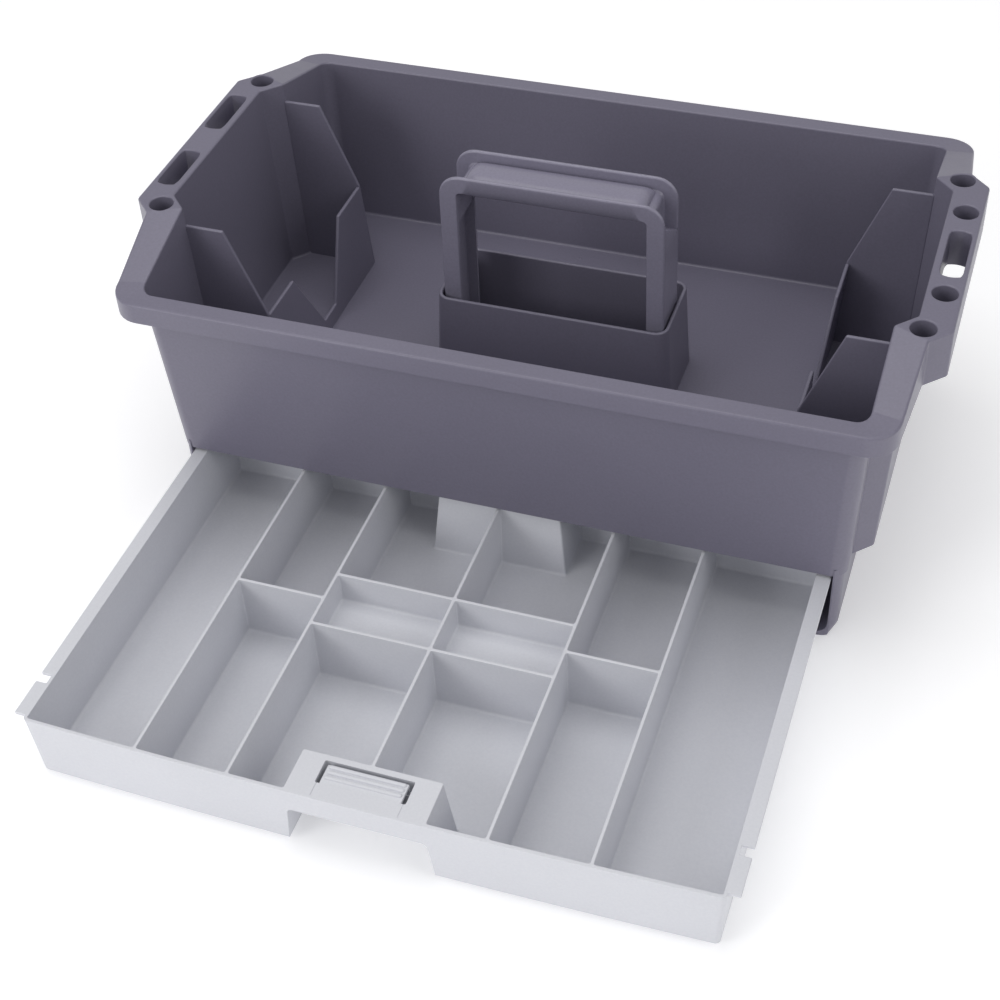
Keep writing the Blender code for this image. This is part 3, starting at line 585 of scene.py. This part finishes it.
def plate_mesh(name, outline, low, high, place):
    """A flat wall with rounded edges, from its outline as (u, v) or (u, v, radius).

    It lies between w = low and w = high, and place turns (u, v, w) into a point."""
    corners = [(u, v, 0.0, *(radius or [PLATE_CORNER]), 5) for u, v, *radius in outline]
    turns = roll(FIN_ROLL, 3)
    rings = [(low + down, -across) for across, down in reversed(turns)]
    rings += [(high - down, -across) for across, down in turns]
    lines = [(w, round_corners(grown(corners, by))) for w, by in rings]
    return loft(name, [[place(u, v, w) for u, v, _ in line] for w, line in lines])


for x_side, x_name in ((-1, "left"), (1, "right")):
    for y_side, y_name in ((-1, "front"), (1, "back")):
        foot = FLOOR_TOP - SUNK
        fin = [
            (FIN_FOOT_X, foot), (end_inside(foot) + SUNK, foot),
            (end_inside(FIN_TOP) + SUNK, FIN_TOP), (FIN_TOP_X, FIN_TOP), FIN_KNEE,
        ]
        low, high = y_side * FIN_Y - WALL / 2, y_side * FIN_Y + WALL / 2
        mesh = plate_mesh("fin", fin, low, high, lambda u, v, w: (x_side * u, w, v))
        name = f"{x_name}_{y_name}_bin_fin"
        add_piece(f"{name}_plate", mesh, tub_shift, tub_plastic, "caddy", "tub_plastic", name)
    (low_y, low_z), (high_y, high_z) = NOTCH
    end_y = FIN_Y - WALL / 4
    notched = [
        (-end_y, foot), (end_y, foot), (end_y, BIN_TOP), (high_y, high_z), (low_y, low_z),
        (-low_y, low_z), (-high_y, high_z), (-end_y, BIN_TOP),
    ]

    def lean(u, v, w):
        share = (v - FLOOR_TOP) / (BIN_TOP - FLOOR_TOP)
        return x_side * (BIN_FOOT_X + (BIN_TOP_X - BIN_FOOT_X) * share + w), u, v

    name = f"{x_name}_bin_wall"
    mesh = plate_mesh("bin_wall", notched, -WALL / 2, WALL / 2, lean)
    add_piece(f"{name}_plate", mesh, tub_shift, tub_plastic, "caddy", "tub_plastic", name)

# The pedestal: an open-topped box moulded on to the middle of the tub's floor, with well rounded
# upright corners. The handle's posts stand inside it.
PED_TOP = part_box("handle_pedestal")[1].z
PED_HALF = 0.0697
PED_FRONT = -0.0225
PED_BACK = 0.0314
PED_LEAN = 0.0030
PED_CORNER = 0.0080
PED_ROLL = 0.0009


def pedestal_line(grow, z):
    """The pedestal's outside in plan, and how far it is grown at the foot."""
    x, front, back = PED_HALF + grow, PED_FRONT - grow / 2, PED_BACK + grow / 2
    return [(u, v, z, PED_CORNER, 8) for u, v in ((x, back), (-x, back), (-x, front), (x, front))]


def pedestal_mesh():
    foot = FLOOR_TOP - SUNK
    edge = roll(PED_ROLL, 3)
    rings = [pedestal_line(PED_LEAN, foot)]
    rings += [grown(pedestal_line(0.0, PED_TOP - down), -across) for across, down in edge]
    edge.reverse()
    rings += [grown(pedestal_line(0.0, PED_TOP - down), across - WALL) for across, down in edge]
    rings.append(grown(pedestal_line(PED_LEAN, foot + SUNK / 2), -WALL))
    return loft("pedestal", [round_corners(ring) for ring in rings])


add_piece(
    "handle_pedestal_box", pedestal_mesh(), tub_shift, tub_plastic,
    "caddy", "tub_plastic", "handle_pedestal",
)

# The handle: an inverted U in a slightly lighter grey, clipped into the pedestal. Its outside is a
# channel between two rounded lips, which ends on each post in a ledge and a slanting facet.
HANDLE_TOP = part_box("carry_handle")[1].z
HANDLE_HALF = 0.0655
HANDLE_SPREAD = 0.0015
HANDLE_DEEP = 0.0157
HANDLE_THICK = 0.0104
HANDLE_BEND = 0.0128
HANDLE_FOOT = FLOOR_TOP + 0.0006
LIP = 0.0026
LIP_ROUND = 0.0012
CHANNEL = 0.0085
CHANNEL_FILLET = 0.0010
CHANNEL_SHUT = 0.00005     # the channel's depth where the post's outside is flat
POST_EDGE = 0.0008         # rounding along the inner edges of the posts
BEAM_UNDER = (             # the beam's side below its lip: it curves in under the hand
    (0.0080, 0.0152), (0.0098, 0.0145), (0.0114, 0.0130), (0.0129, 0.0107),
    (0.0142, 0.0079), (0.0151, 0.0051), (0.0156, 0.0026),
)
POST_HOLLOW = (            # the posts' hollow on the side towards the hand: height, depth
    (0.0580, 0.0060), (0.1440, 0.0060), (0.1540, 0.0011), (0.1680, 0.0011),
)
HOLLOW_HALF = 0.0131
HOLLOW_CLEAR = 0.0100      # how far the cutter stands clear of the post
BEAM_START = 0.0060        # length over which the posts' section turns into the beam's
RUN_OUT = ((0.1710, 0.1560), (0.1495, 0.1560))    # upper and lower end of the channel: front, back
RUN_OUT_DEPTH = 0.0032
RUN_OUT_STEP = 0.0005
HANDLE_COLOUR = (0.230, 0.218, 0.288)
HANDLE_ROUGHNESS = 0.24    # hands have polished it
HANDLE_GRAIN = 0.10


def spread_at(z):
    """How far the posts stand out at a height: they spread a little towards the foot."""
    bend_z = HANDLE_TOP - HANDLE_BEND
    return HANDLE_SPREAD * (bend_z - z) / (bend_z - HANDLE_FOOT)


def handle_section(front, back, under=None):
    """The section as (y, depth below the outside), for the channel's depth at front and back."""
    inner = HANDLE_DEEP - LIP
    if not under:
        edge = reversed(roll(POST_EDGE, 6))
        under = [(HANDLE_DEEP - across, HANDLE_THICK - down) for across, down in edge]

    def half(depth):
        edge = roll(LIP_ROUND)
        points = list(under)
        points += [(HANDLE_DEEP - across, down) for across, down in edge]
        points += [(inner + across, min(down, depth)) for across, down in reversed(edge)]
        fillet = min(CHANNEL_FILLET, depth / 2)
        wall_foot = max(depth - fillet, min(LIP_ROUND, depth))
        return points + [(inner, wall_foot), (inner - fillet, depth)]

    near, away = half(front), half(back)
    middle = [(inner * k / 4, back + (front - back) * (0.5 - k / 8)) for k in (2, 1, 0, -1, -2)]
    return away + middle + [(-y, d) for y, d in reversed(near)]


def handle_rings():
    """Sections up the right post and round the bend to the middle of the beam."""
    (top_f, top_b), (low_f, low_b) = RUN_OUT
    bend_z = HANDLE_TOP - HANDLE_BEND
    inner = HANDLE_DEEP - LIP
    shut = CHANNEL_SHUT
    levels = [
        (HANDLE_FOOT, HANDLE_FOOT, shut, shut), (low_f, low_b, shut, shut),
        (top_f - RUN_OUT_STEP, top_b - RUN_OUT_STEP, RUN_OUT_DEPTH, shut),
        (top_f, top_b, CHANNEL, CHANNEL), (bend_z - HAIR, bend_z - HAIR, CHANNEL, CHANNEL),
    ]
    rings = []
    for z_front, z_back, front, back in levels:
        ring = []
        for y, depth in handle_section(front, back):
            share = min(max((y + inner) / (2 * inner), 0.0), 1.0)
            z = z_front + (z_back - z_front) * share
            ring.append(Vector((HANDLE_HALF + spread_at(z) - depth, y, z)))
        rings.append(ring)
    section = handle_section(CHANNEL, CHANNEL)
    middle_x = HANDLE_HALF - HANDLE_BEND
    for step in range(1, 10):
        angle = math.radians(90 * step / 9)
        out = Vector((math.cos(angle), 0.0, math.sin(angle)))
        rings.append([Vector((middle_x, y, bend_z)) + out * (HANDLE_BEND - d) for y, d in section])
    beam = handle_section(CHANNEL, CHANNEL, BEAM_UNDER)
    for step in range(7):
        share = (1 - math.cos(math.pi * step / 6)) / 2
        x = middle_x - 3 * HAIR - BEAM_START * step / 6
        rings.append([
            Vector((x, y0 + (y1 - y0) * share, HANDLE_TOP - d0 - (d1 - d0) * share))
            for (y0, d0), (y1, d1) in zip(section, beam)
        ])
    return rings


def handle_mesh():
    """Both halves of the bow, with the hollows cut out of its posts."""
    right = handle_rings()
    left = [[Vector((-p.x, p.y, p.z)) for p in ring] for ring in reversed(right)]
    hollows = []
    for side in (-1, 1):
        rings = []
        for z, depth in POST_HOLLOW:
            face = HANDLE_HALF - HANDLE_THICK + spread_at(z)
            x0, x1, y = side * (face - HOLLOW_CLEAR), side * (face + depth), HOLLOW_HALF
            rings.append([(x0, -y, z), (x1, -y, z), (x1, y, z), (x0, y, z)])
        hollows.append(loft("hollow", rings))
    return shaped(loft("handle", right + left), hollows)


handle_plastic = moulded_plastic("handle_plastic", HANDLE_COLOUR, HANDLE_ROUGHNESS, HANDLE_GRAIN)
add_piece(
    "carry_handle_bow", handle_mesh(), tub_shift, handle_plastic,
    "caddy", "handle_plastic", "carry_handle",
)

# The grip: a crowned bar in the same grey that fills the top of the channel, with rounded ends.
GRIP_HALF = 0.0530
GRIP_CREST = 0.1845
GRIP_END_ROUND = 0.0075
GRIP_SUNK = 0.0004         # into the channel's floor
GRIP_ROUND = 0.85          # powers below 1 make the crown and the domed ends a little fuller
GRIP_DOME = 0.8
GRIP_LEAST = 0.03          # share of the crown's height left at the very ends


def grip_mesh():
    """Sections along the bar: nearly half round across, and domed at both ends."""
    floor_z = HANDLE_TOP - CHANNEL - GRIP_SUNK
    wide = HANDLE_DEEP - LIP - HAIR
    half = []
    for step in range(11):
        angle = math.radians(90 * step / 10)
        x = GRIP_HALF - GRIP_END_ROUND * (1 - math.sin(angle))
        half.append((x, math.cos(angle) ** GRIP_DOME))
    line = [(-x, share) for x, share in reversed(half)] + half
    rings = []
    for x, share in line:
        ring = [(x, -wide, floor_z), (x, wide, floor_z)]
        for step in range(1, 18):
            angle = math.pi * step / 18
            crown = math.sin(angle) ** GRIP_ROUND * max(share, GRIP_LEAST)
            top = floor_z + (GRIP_CREST - floor_z) * crown
            ring.append((x, wide * math.cos(angle), top))
        rings.append(ring)
    return loft("grip", rings)


add_piece(
    "handle_grip_bar", grip_mesh(), tub_shift, handle_plastic,
    "caddy", "handle_plastic", "handle_grip",
)

# The housing: two sides under the tub turn inwards at the bottom into the lips that the drawer
# slides on, and a plate closes the back. They belong to the tub moulding.
HOUSE_X = 0.1894
HOUSE_WALL = 0.0050
HOUSE_TURN = 0.0100
SLIDE_LIP = 0.0026
SLIDE_LIP_X = 0.1700
SLIDE_LIP_ROUND = 0.0008
HOUSE_THIN = 0.0008        # the side's wall is this thin at its front end
HOUSE_TAPER = ((0.0, 0.0), (0.0012, 0.35), (0.0030, 0.70), (0.0060, 1.0))    # behind it, share kept
HOUSE_SUNK = 0.0010        # how far the sides and the back plate reach into what they meet
house_low, house_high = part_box("left_drawer_runner")


def housing_side_mesh(side):
    """The J-shaped section, run from the front of the tub to its back."""
    outer = HOUSE_X + HOUSE_WALL
    top = FLOOR_BOTTOM + 1.5 * HOUSE_SUNK
    line = round_corners([
        (SLIDE_LIP_X, 0.0, 0.0, SLIDE_LIP_ROUND, 3), (outer, 0.0, 0.0, HOUSE_TURN, 8),
        (outer, top, 0.0, 0.0, 0), (HOUSE_X, top, 0.0, 0.0, 0),
        (HOUSE_X, SLIDE_LIP, 0.0, HOUSE_TURN - SLIDE_LIP, 8),
        (SLIDE_LIP_X, SLIDE_LIP, 0.0, SLIDE_LIP_ROUND, 3),
    ])
    front, back = house_low.y - TUB_Y, house_high.y - TUB_Y + HOUSE_SUNK
    thin_x = HOUSE_X + HOUSE_THIN
    rings = []
    for y, keep in [(front + behind, keep) for behind, keep in HOUSE_TAPER] + [(back, 1.0)]:
        ring = [(x if x < thin_x else thin_x + (x - thin_x) * keep, z) for x, z, _ in line]
        rings.append([(side * x, y, z) for x, z in ring])
    return loft("housing_side", rings)


for side, name in ((-1, "left_drawer_runner"), (1, "right_drawer_runner")):
    mesh = housing_side_mesh(side)
    add_piece(f"{name}_side", mesh, tub_shift, tub_plastic, "caddy", "tub_plastic", name)

back_low, back_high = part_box("housing_back")


def housing_back_mesh():
    """The back plate, with the same rounded lower corners as the sides."""
    x = back_high.x
    top = FLOOR_BOTTOM + HOUSE_SUNK
    outline = [(-x, 0.0, HOUSE_TURN), (x, 0.0, HOUSE_TURN), (x, top), (-x, top)]
    low, high = back_low.y - TUB_Y, back_high.y - TUB_Y
    return plate_mesh("housing_back", outline, low, high, lambda u, v, w: (u, w, v))


add_piece(
    "housing_back_plate", housing_back_mesh(), tub_shift, tub_plastic,
    "caddy", "tub_plastic", "housing_back",
)

# The drawer: one thin moulding in light grey polypropylene. Long and short dividers make twelve
# compartments; the front bows out a little, and flanges along both sides run in the housing.
tray_low, tray_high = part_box("drawer_tray")
drawer_shift = (0.0, tray_low.y, tray_low.z)
TRAY_HIGH = tray_high.z - tray_low.z
TRAY_LONG = tray_high.y - tray_low.y
TRAY_HALF = 0.1822
TRAY_WALL = 0.0020
TRAY_LEAN = 0.0018
TRAY_FLOOR = 0.0020
TRAY_CORNER = 0.0030
TRAY_FOOT_ROLL = 0.0010
FRONT_BOW = 0.0030
BOW_REACH = 0.0300         # how far behind the front the bow dies away
BOW_STEP = 0.0120          # longest straight piece of the bow
DIVIDER = 0.0017
SIDE_DIVIDER = 0.1185
MID_DIVIDER = 0.0676
SIDE_CROSS = 0.1258
SHALLOW_CROSS = (0.1072, 0.1445)
SHALLOW_FLOOR = 0.0225
POCKET_CORNER = 0.0011
POCKET_FILLET = 0.0018
TOP_ROLL = 0.00035
POCKET_LEAN = 0.0004
POCKET_CLEAR = 0.0020      # how far a compartment's cutter stands clear of the drawer's top
FLANGE_X = tray_high.x
FLANGE_THICK = 0.0020
FLANGE_CORNER = 0.0007
FLANGE_EDGE = 0.0004
FLANGE_ENDS = (0.0035, 0.2470)
NOTCH_ENDS = (0.0282, 0.0340)
PLATFORM = (0.0370, 0.0410, 0.0272, 0.0292)    # latch platform: half-width at top, foot; depth too
BACK_BAY = (0.0360, 0.0400, 0.2187, 0.2147)    # back bay: half-width at top, foot; front face too
DRAWER_COLOUR = (0.652, 0.660, 0.703)
DRAWER_ROUGHNESS = 0.40
DRAWER_GRAIN = 0.22


def bowed(mesh):
    """Sets the front of a straight drawer mesh into its shallow bow."""
    for vert in mesh.vertices:
        share = min(max(1 - vert.co.y / BOW_REACH, 0.0), 1.0)
        vert.co.y += FRONT_BOW * (vert.co.x / TRAY_HALF) ** 2 * share
    return mesh


def split_front(corners):
    """Adds plain points along an outline's front edge, so that it can follow the bow."""
    made = []
    for i, corner in enumerate(corners):
        made.append(corner)
        after = corners[(i + 1) % len(corners)]
        if abs(corner[1] - after[1]) < 1e-6 and corner[1] < BOW_REACH / 3:
            count = int(abs(after[0] - corner[0]) / BOW_STEP)
            for k in range(1, count):
                x = corner[0] + (after[0] - corner[0]) * k / count
                made.append((x, corner[1], corner[2], 0.0, 0))
    return made


def tray_block():
    """The drawer's outside, solid, leaning inwards to its underside."""

    def line(lean, z):
        x, front, back = TRAY_HALF - lean, lean, TRAY_LONG - lean / 2
        places = ((-x, front), (x, front), (x, back), (-x, back))
        return split_front([(u, v, z, TRAY_CORNER, 5) for u, v in places])

    foot = reversed(roll(TRAY_FOOT_ROLL, 3))
    rings = [grown(line(TRAY_LEAN, down), -across) for across, down in foot]
    rings += [grown(line(0.0, TRAY_HIGH - down), -across) for across, down in roll(TOP_ROLL, 3)]
    return loft("tray_block", [round_corners(ring) for ring in rings])


def pocket_mesh(top, foot, floor):
    """A compartment as a solid: filleted to its floor and flared at its top, to round the edges."""

    def line(corners, z):
        return split_front([(x, y, z, POCKET_CORNER, 4) for x, y in corners])

    fillet = reversed(roll(POCKET_FILLET))
    rings = [grown(line(foot, floor + down), -across) for across, down in fillet]
    rings += [grown(line(top, TRAY_HIGH - down), across) for across, down in roll(TOP_ROLL, 3)]
    rings.append(grown(line(top, TRAY_HIGH + POCKET_CLEAR), TOP_ROLL))
    return loft("pocket", [round_corners(ring) for ring in rings])


def pocket_pairs():
    """Each right-hand compartment as (top outline, foot outline, floor height)."""
    d, lean = DIVIDER / 2, POCKET_LEAN
    back, front = TRAY_LONG - TRAY_WALL, TRAY_WALL

    def plain(x0, x1, y0, y1, floor, outer=0.0):
        top = [(x0, y0), (x1, y0), (x1, y1), (x0, y1)]
        low_y = y0 + (TRAY_LEAN if y0 == front else lean)
        low_x = x1 - (outer or lean)
        foot = [(x0 + lean, low_y), (low_x, low_y), (low_x, y1 - lean), (x0 + lean, y1 - lean)]
        return top, foot, floor

    near, far = SHALLOW_CROSS
    mid = MID_DIVIDER - d
    plat_x, plat_foot_x, plat_y, plat_foot_y = PLATFORM
    bay_x, bay_foot_x, bay_y, bay_foot_y = BACK_BAY
    return [
        plain(SIDE_DIVIDER + d, TRAY_HALF - TRAY_WALL, front, back, TRAY_FLOOR, TRAY_LEAN),
        plain(MID_DIVIDER + d, SIDE_DIVIDER - d, front, SIDE_CROSS - d, TRAY_FLOOR),
        plain(MID_DIVIDER + d, SIDE_DIVIDER - d, SIDE_CROSS + d, back, TRAY_FLOOR),
        plain(d, mid, near + d, far - d, SHALLOW_FLOOR),
        (
            [
                (plat_x, front), (mid, front), (mid, near - d),
                (d, near - d), (d, plat_y), (plat_x, plat_y),
            ],
            [
                (plat_foot_x, front + TRAY_LEAN), (mid - lean, front + TRAY_LEAN),
                (mid - lean, near - d - lean), (d + lean, near - d - lean),
                (d + lean, plat_foot_y), (plat_foot_x, plat_foot_y),
            ],
            TRAY_FLOOR,
        ),
        (
            [(d, far + d), (mid, far + d), (mid, back), (bay_x, back), (bay_x, bay_y), (d, bay_y)],
            [
                (d + lean, far + d + lean), (mid - lean, far + d + lean), (mid - lean, back - lean),
                (bay_foot_x, back - lean), (bay_foot_x, bay_foot_y), (d + lean, bay_foot_y),
            ],
            TRAY_FLOOR,
        ),
    ]


def mirrored(outline):
    """The same outline on the left-hand side."""
    return [(-x, y) for x, y in reversed(outline)]


def flange_mesh(side):
    """A flange along the top of a side wall, with the notch near its front."""
    inner, outer = TRAY_HALF - TRAY_WALL / 2, FLANGE_X
    (y0, y3), (y1, y2) = FLANGE_ENDS, NOTCH_ENDS
    places = [
        (inner, y0), (outer, y0), (outer, y1), (TRAY_HALF, y1),
        (TRAY_HALF, y2), (outer, y2), (outer, y3), (inner, y3),
    ]
    corners = [(x, y, 0.0, FLANGE_CORNER, 3) for x, y in places]
    e, low, high = FLANGE_EDGE, TRAY_HIGH - FLANGE_THICK, TRAY_HIGH
    rings = []
    for z, by in ((low, -e), (low + e, 0.0), (high - e, 0.0), (high, -e)):
        rings.append([(side * x, y, z) for x, y, _ in round_corners(grown(corners, by))])
    return loft("flange", rings)


tray = shaped(tray_block(), [flange_mesh(-1), flange_mesh(1)], "UNION")
pockets = []
for top, foot, floor in pocket_pairs():
    pockets.append(pocket_mesh(top, foot, floor))
    pockets.append(pocket_mesh(mirrored(top), mirrored(foot), floor))
tray = shaped(tray, pockets)

# Under the drawer: hollows beneath the two shallow compartments, in the back bay, and in the latch
# platform, which is open at the front so that the fingers reach up behind the tongue.
TRAY_SKIN = 0.0020
BAND_BOTTOM = 0.0260
BAND_CORNER = 0.0032
OPENING_HALF = 0.0237      # the tongue's opening, which leaves a slot round its sides and back
TONGUE_HINGE = 0.0097
OPENING_BACK = 0.0237
SLOT_END = 0.0008
SLOT_RIB = 0.0012          # a shallow box closes the opening underneath
SLOT_RIB_BOTTOM = 0.0310
SLOT_RIB_DOWN = 0.0010     # from the platform's top down to the box's edge
CREASE_WIDE = 0.0005       # a fine crease runs on from each end of the slot to the front
CREASE_DEEP = 0.00025
CREASE_FRONT = 0.0016
PAST = 0.0100              # how far a cutter stands out past an open side, and below or above
PAST_FOOT = 0.0005
PAST_TOP = 0.0020
HALF_RIB = 0.0012          # half the thickness left under the centre and middle dividers


def block_mesh(low, z_low, high, z_high):
    """A tapered block: a rectangle (x0, x1, y0, y1) at each of two heights."""
    rings = []
    for (x0, x1, y0, y1), z in ((low, z_low), (high, z_high)):
        rings.append([(x0, y0, z), (x1, y0, z), (x1, y1, z), (x0, y1, z)])
    return loft("block", rings)


def opening_corners():
    """The tongue's opening in plan."""
    h = OPENING_HALF
    places = ((-h, TONGUE_HINGE), (h, TONGUE_HINGE), (h, OPENING_BACK), (-h, OPENING_BACK))
    return [(x, y, 0.0, SLOT_END, 4) for x, y in places]


def under_cuts():
    """Everything that is cut from the drawer after its compartments, as solids."""
    plat_x, plat_foot_x, plat_y, plat_foot_y = [v - TRAY_SKIN for v in PLATFORM]
    bay_x, bay_foot_x = BACK_BAY[0] - TRAY_SKIN, BACK_BAY[1] - TRAY_SKIN
    bay_y, bay_foot_y = BACK_BAY[2] + TRAY_SKIN, BACK_BAY[3] + TRAY_SKIN
    share = BAND_BOTTOM / TRAY_HIGH
    band_x = plat_foot_x + (plat_x - plat_foot_x) * share
    band_y = plat_foot_y + (plat_y - plat_foot_y) * share
    under = TRAY_HIGH - TRAY_SKIN
    line = round_corners([
        (-plat_foot_x, -PAST_FOOT, 0.0, 0.0, 0), (plat_foot_x, -PAST_FOOT, 0.0, 0.0, 0),
        (band_x, BAND_BOTTOM, 0.0, BAND_CORNER, 5), (-band_x, BAND_BOTTOM, 0.0, BAND_CORNER, 5),
    ])
    fore = [(x, -PAST, z) for x, z, _ in line]
    rear = [(x, plat_foot_y + (band_y - plat_foot_y) * z / BAND_BOTTOM, z) for x, z, _ in line]
    cuts = [
        loft("finger_opening", [fore, rear]),
        block_mesh((-band_x, band_x, TRAY_SKIN + PAST_TOP / 2, band_y), BAND_BOTTOM - PAST_TOP,
                   (-plat_x, plat_x, TRAY_SKIN, plat_y), under),
        block_mesh((-bay_foot_x, bay_foot_x, bay_foot_y, TRAY_LONG + PAST), -PAST_FOOT,
                   (-bay_x, bay_x, bay_y, TRAY_LONG + PAST), under),
    ]
    near, far = SHALLOW_CROSS
    for side in (-1, 1):
        x0, x1 = sorted((side * HALF_RIB, side * (MID_DIVIDER - HALF_RIB)))
        box = (x0, x1, near + DIVIDER / 2, far - DIVIDER / 2)
        cuts.append(block_mesh(box, -PAST_FOOT, box, SHALLOW_FLOOR - TRAY_SKIN))
    line = round_corners(opening_corners())
    heights = (under - 2 * PAST_TOP, TRAY_HIGH + PAST_TOP)
    cuts.append(loft("slot", [[(x, y, z) for x, y, _ in line] for z in heights]))
    for side in (-1, 1):
        edge = OPENING_HALF - SLOT_END
        x0, x1 = sorted((side * edge, side * (edge - CREASE_WIDE)))
        box = (x0, x1, CREASE_FRONT, TONGUE_HINGE + PAST_TOP / 2)
        cuts.append(block_mesh(box, TRAY_HIGH - CREASE_DEEP, box, TRAY_HIGH + PAST_TOP / 2))
    return cuts


def slot_rib():
    """The shallow box that hangs down round the tongue's opening and closes it underneath."""
    low, high = SLOT_RIB_BOTTOM, TRAY_HIGH - SLOT_RIB_DOWN
    rings = []
    for by, z in ((0.0, low + SLOT_RIB), (0.0, high), (SLOT_RIB, high), (SLOT_RIB, low)):
        line = round_corners(grown(opening_corners(), by + HAIR / 2))
        rings.append([(x, y, z) for x, y, _ in line])
    return loft("slot_rib", rings)


tray = bowed(merged([shaped(tray, under_cuts()), slot_rib()]))
drawer_plastic = moulded_plastic("drawer_plastic", DRAWER_COLOUR, DRAWER_ROUGHNESS, DRAWER_GRAIN)
add_piece(
    "drawer_moulding", tray, drawer_shift, drawer_plastic, "drawer", "drawer_plastic",
    "drawer_tray", "left_side_divider", "left_middle_divider", "centre_divider",
    "right_middle_divider", "right_side_divider", "left_cross_divider", "right_cross_divider",
    "left_shallow_tray", "right_shallow_tray", "latch_platform", "back_bay",
)

# The latch: a springy tongue of the same plastic, cut free on three sides, that is pressed down to
# let the drawer go. Three ridges across it give the finger a hold.
TONGUE_HALF = 0.0213
TONGUE_BACK = 0.0215
TONGUE_THICK = 0.0020
TONGUE_EDGE = 0.0003
TONGUE_CORNER = 0.0004
TONGUE_GAP = 0.00005
HINGE_SLOPE = 0.16         # the front face leans back, so that the tongue can tip
HOOK_BOTTOM = 0.0345       # the tongue's rear edge hangs down as a hook
HOOK_THICK = 0.0014
RIDGES = (0.0041, 0.0073, 0.0105)
RIDGE_HALF = 0.0204
RIDGE_WIDE = 0.0024
RIDGE_HIGH = 0.0009
RIDGE_ROUND = 0.96         # how nearly half round its ends are
RIDGE_SUNK = 0.0005        # how far the ridges and the hook reach into the tongue


def tongue_mesh():
    """The tongue with its hook and its ridges."""
    h, e = TONGUE_HALF, TONGUE_EDGE

    def line(z, by):
        front = TONGUE_HINGE + TONGUE_GAP + (TRAY_HIGH - z) * HINGE_SLOPE
        x, back = h + by, TONGUE_BACK + by
        places = ((-x, front), (x, front), (x, back), (-x, back))
        return round_corners([(u, v, z, TONGUE_CORNER, 3) for u, v in places])

    low, high = TRAY_HIGH - TONGUE_THICK, TRAY_HIGH
    levels = [(low, -e), (low + e, 0.0)] + [(high - down, -across) for across, down in roll(e, 3)]
    parts = [loft("tongue", [line(z, by) for z, by in levels])]
    box = (-h, h, TONGUE_BACK - HOOK_THICK, TONGUE_BACK)
    parts.append(block_mesh(box, HOOK_BOTTOM, box, low + RIDGE_SUNK))
    for back in RIDGES:
        middle = TONGUE_HINGE + back
        w = RIDGE_WIDE / 2
        corners = [
            (x, y, 0.0, w * RIDGE_ROUND, 5) for x, y in (
                (-RIDGE_HALF, middle - w), (RIDGE_HALF, middle - w),
                (RIDGE_HALF, middle + w), (-RIDGE_HALF, middle + w),
            )
        ]
        levels = [(high - RIDGE_SUNK, 0.0)]
        levels += [(high + RIDGE_HIGH - down, -across) for across, down in roll(RIDGE_HIGH)]
        parts.append(loft("ridge", [
            [(x, y, z) for x, y, _ in round_corners(grown(corners, by))] for z, by in levels
        ]))
    return merged(parts)


add_piece(
    "latch_tongue_press", tongue_mesh(), drawer_shift, drawer_plastic,
    "latch", "drawer_plastic", "latch_tongue",
)
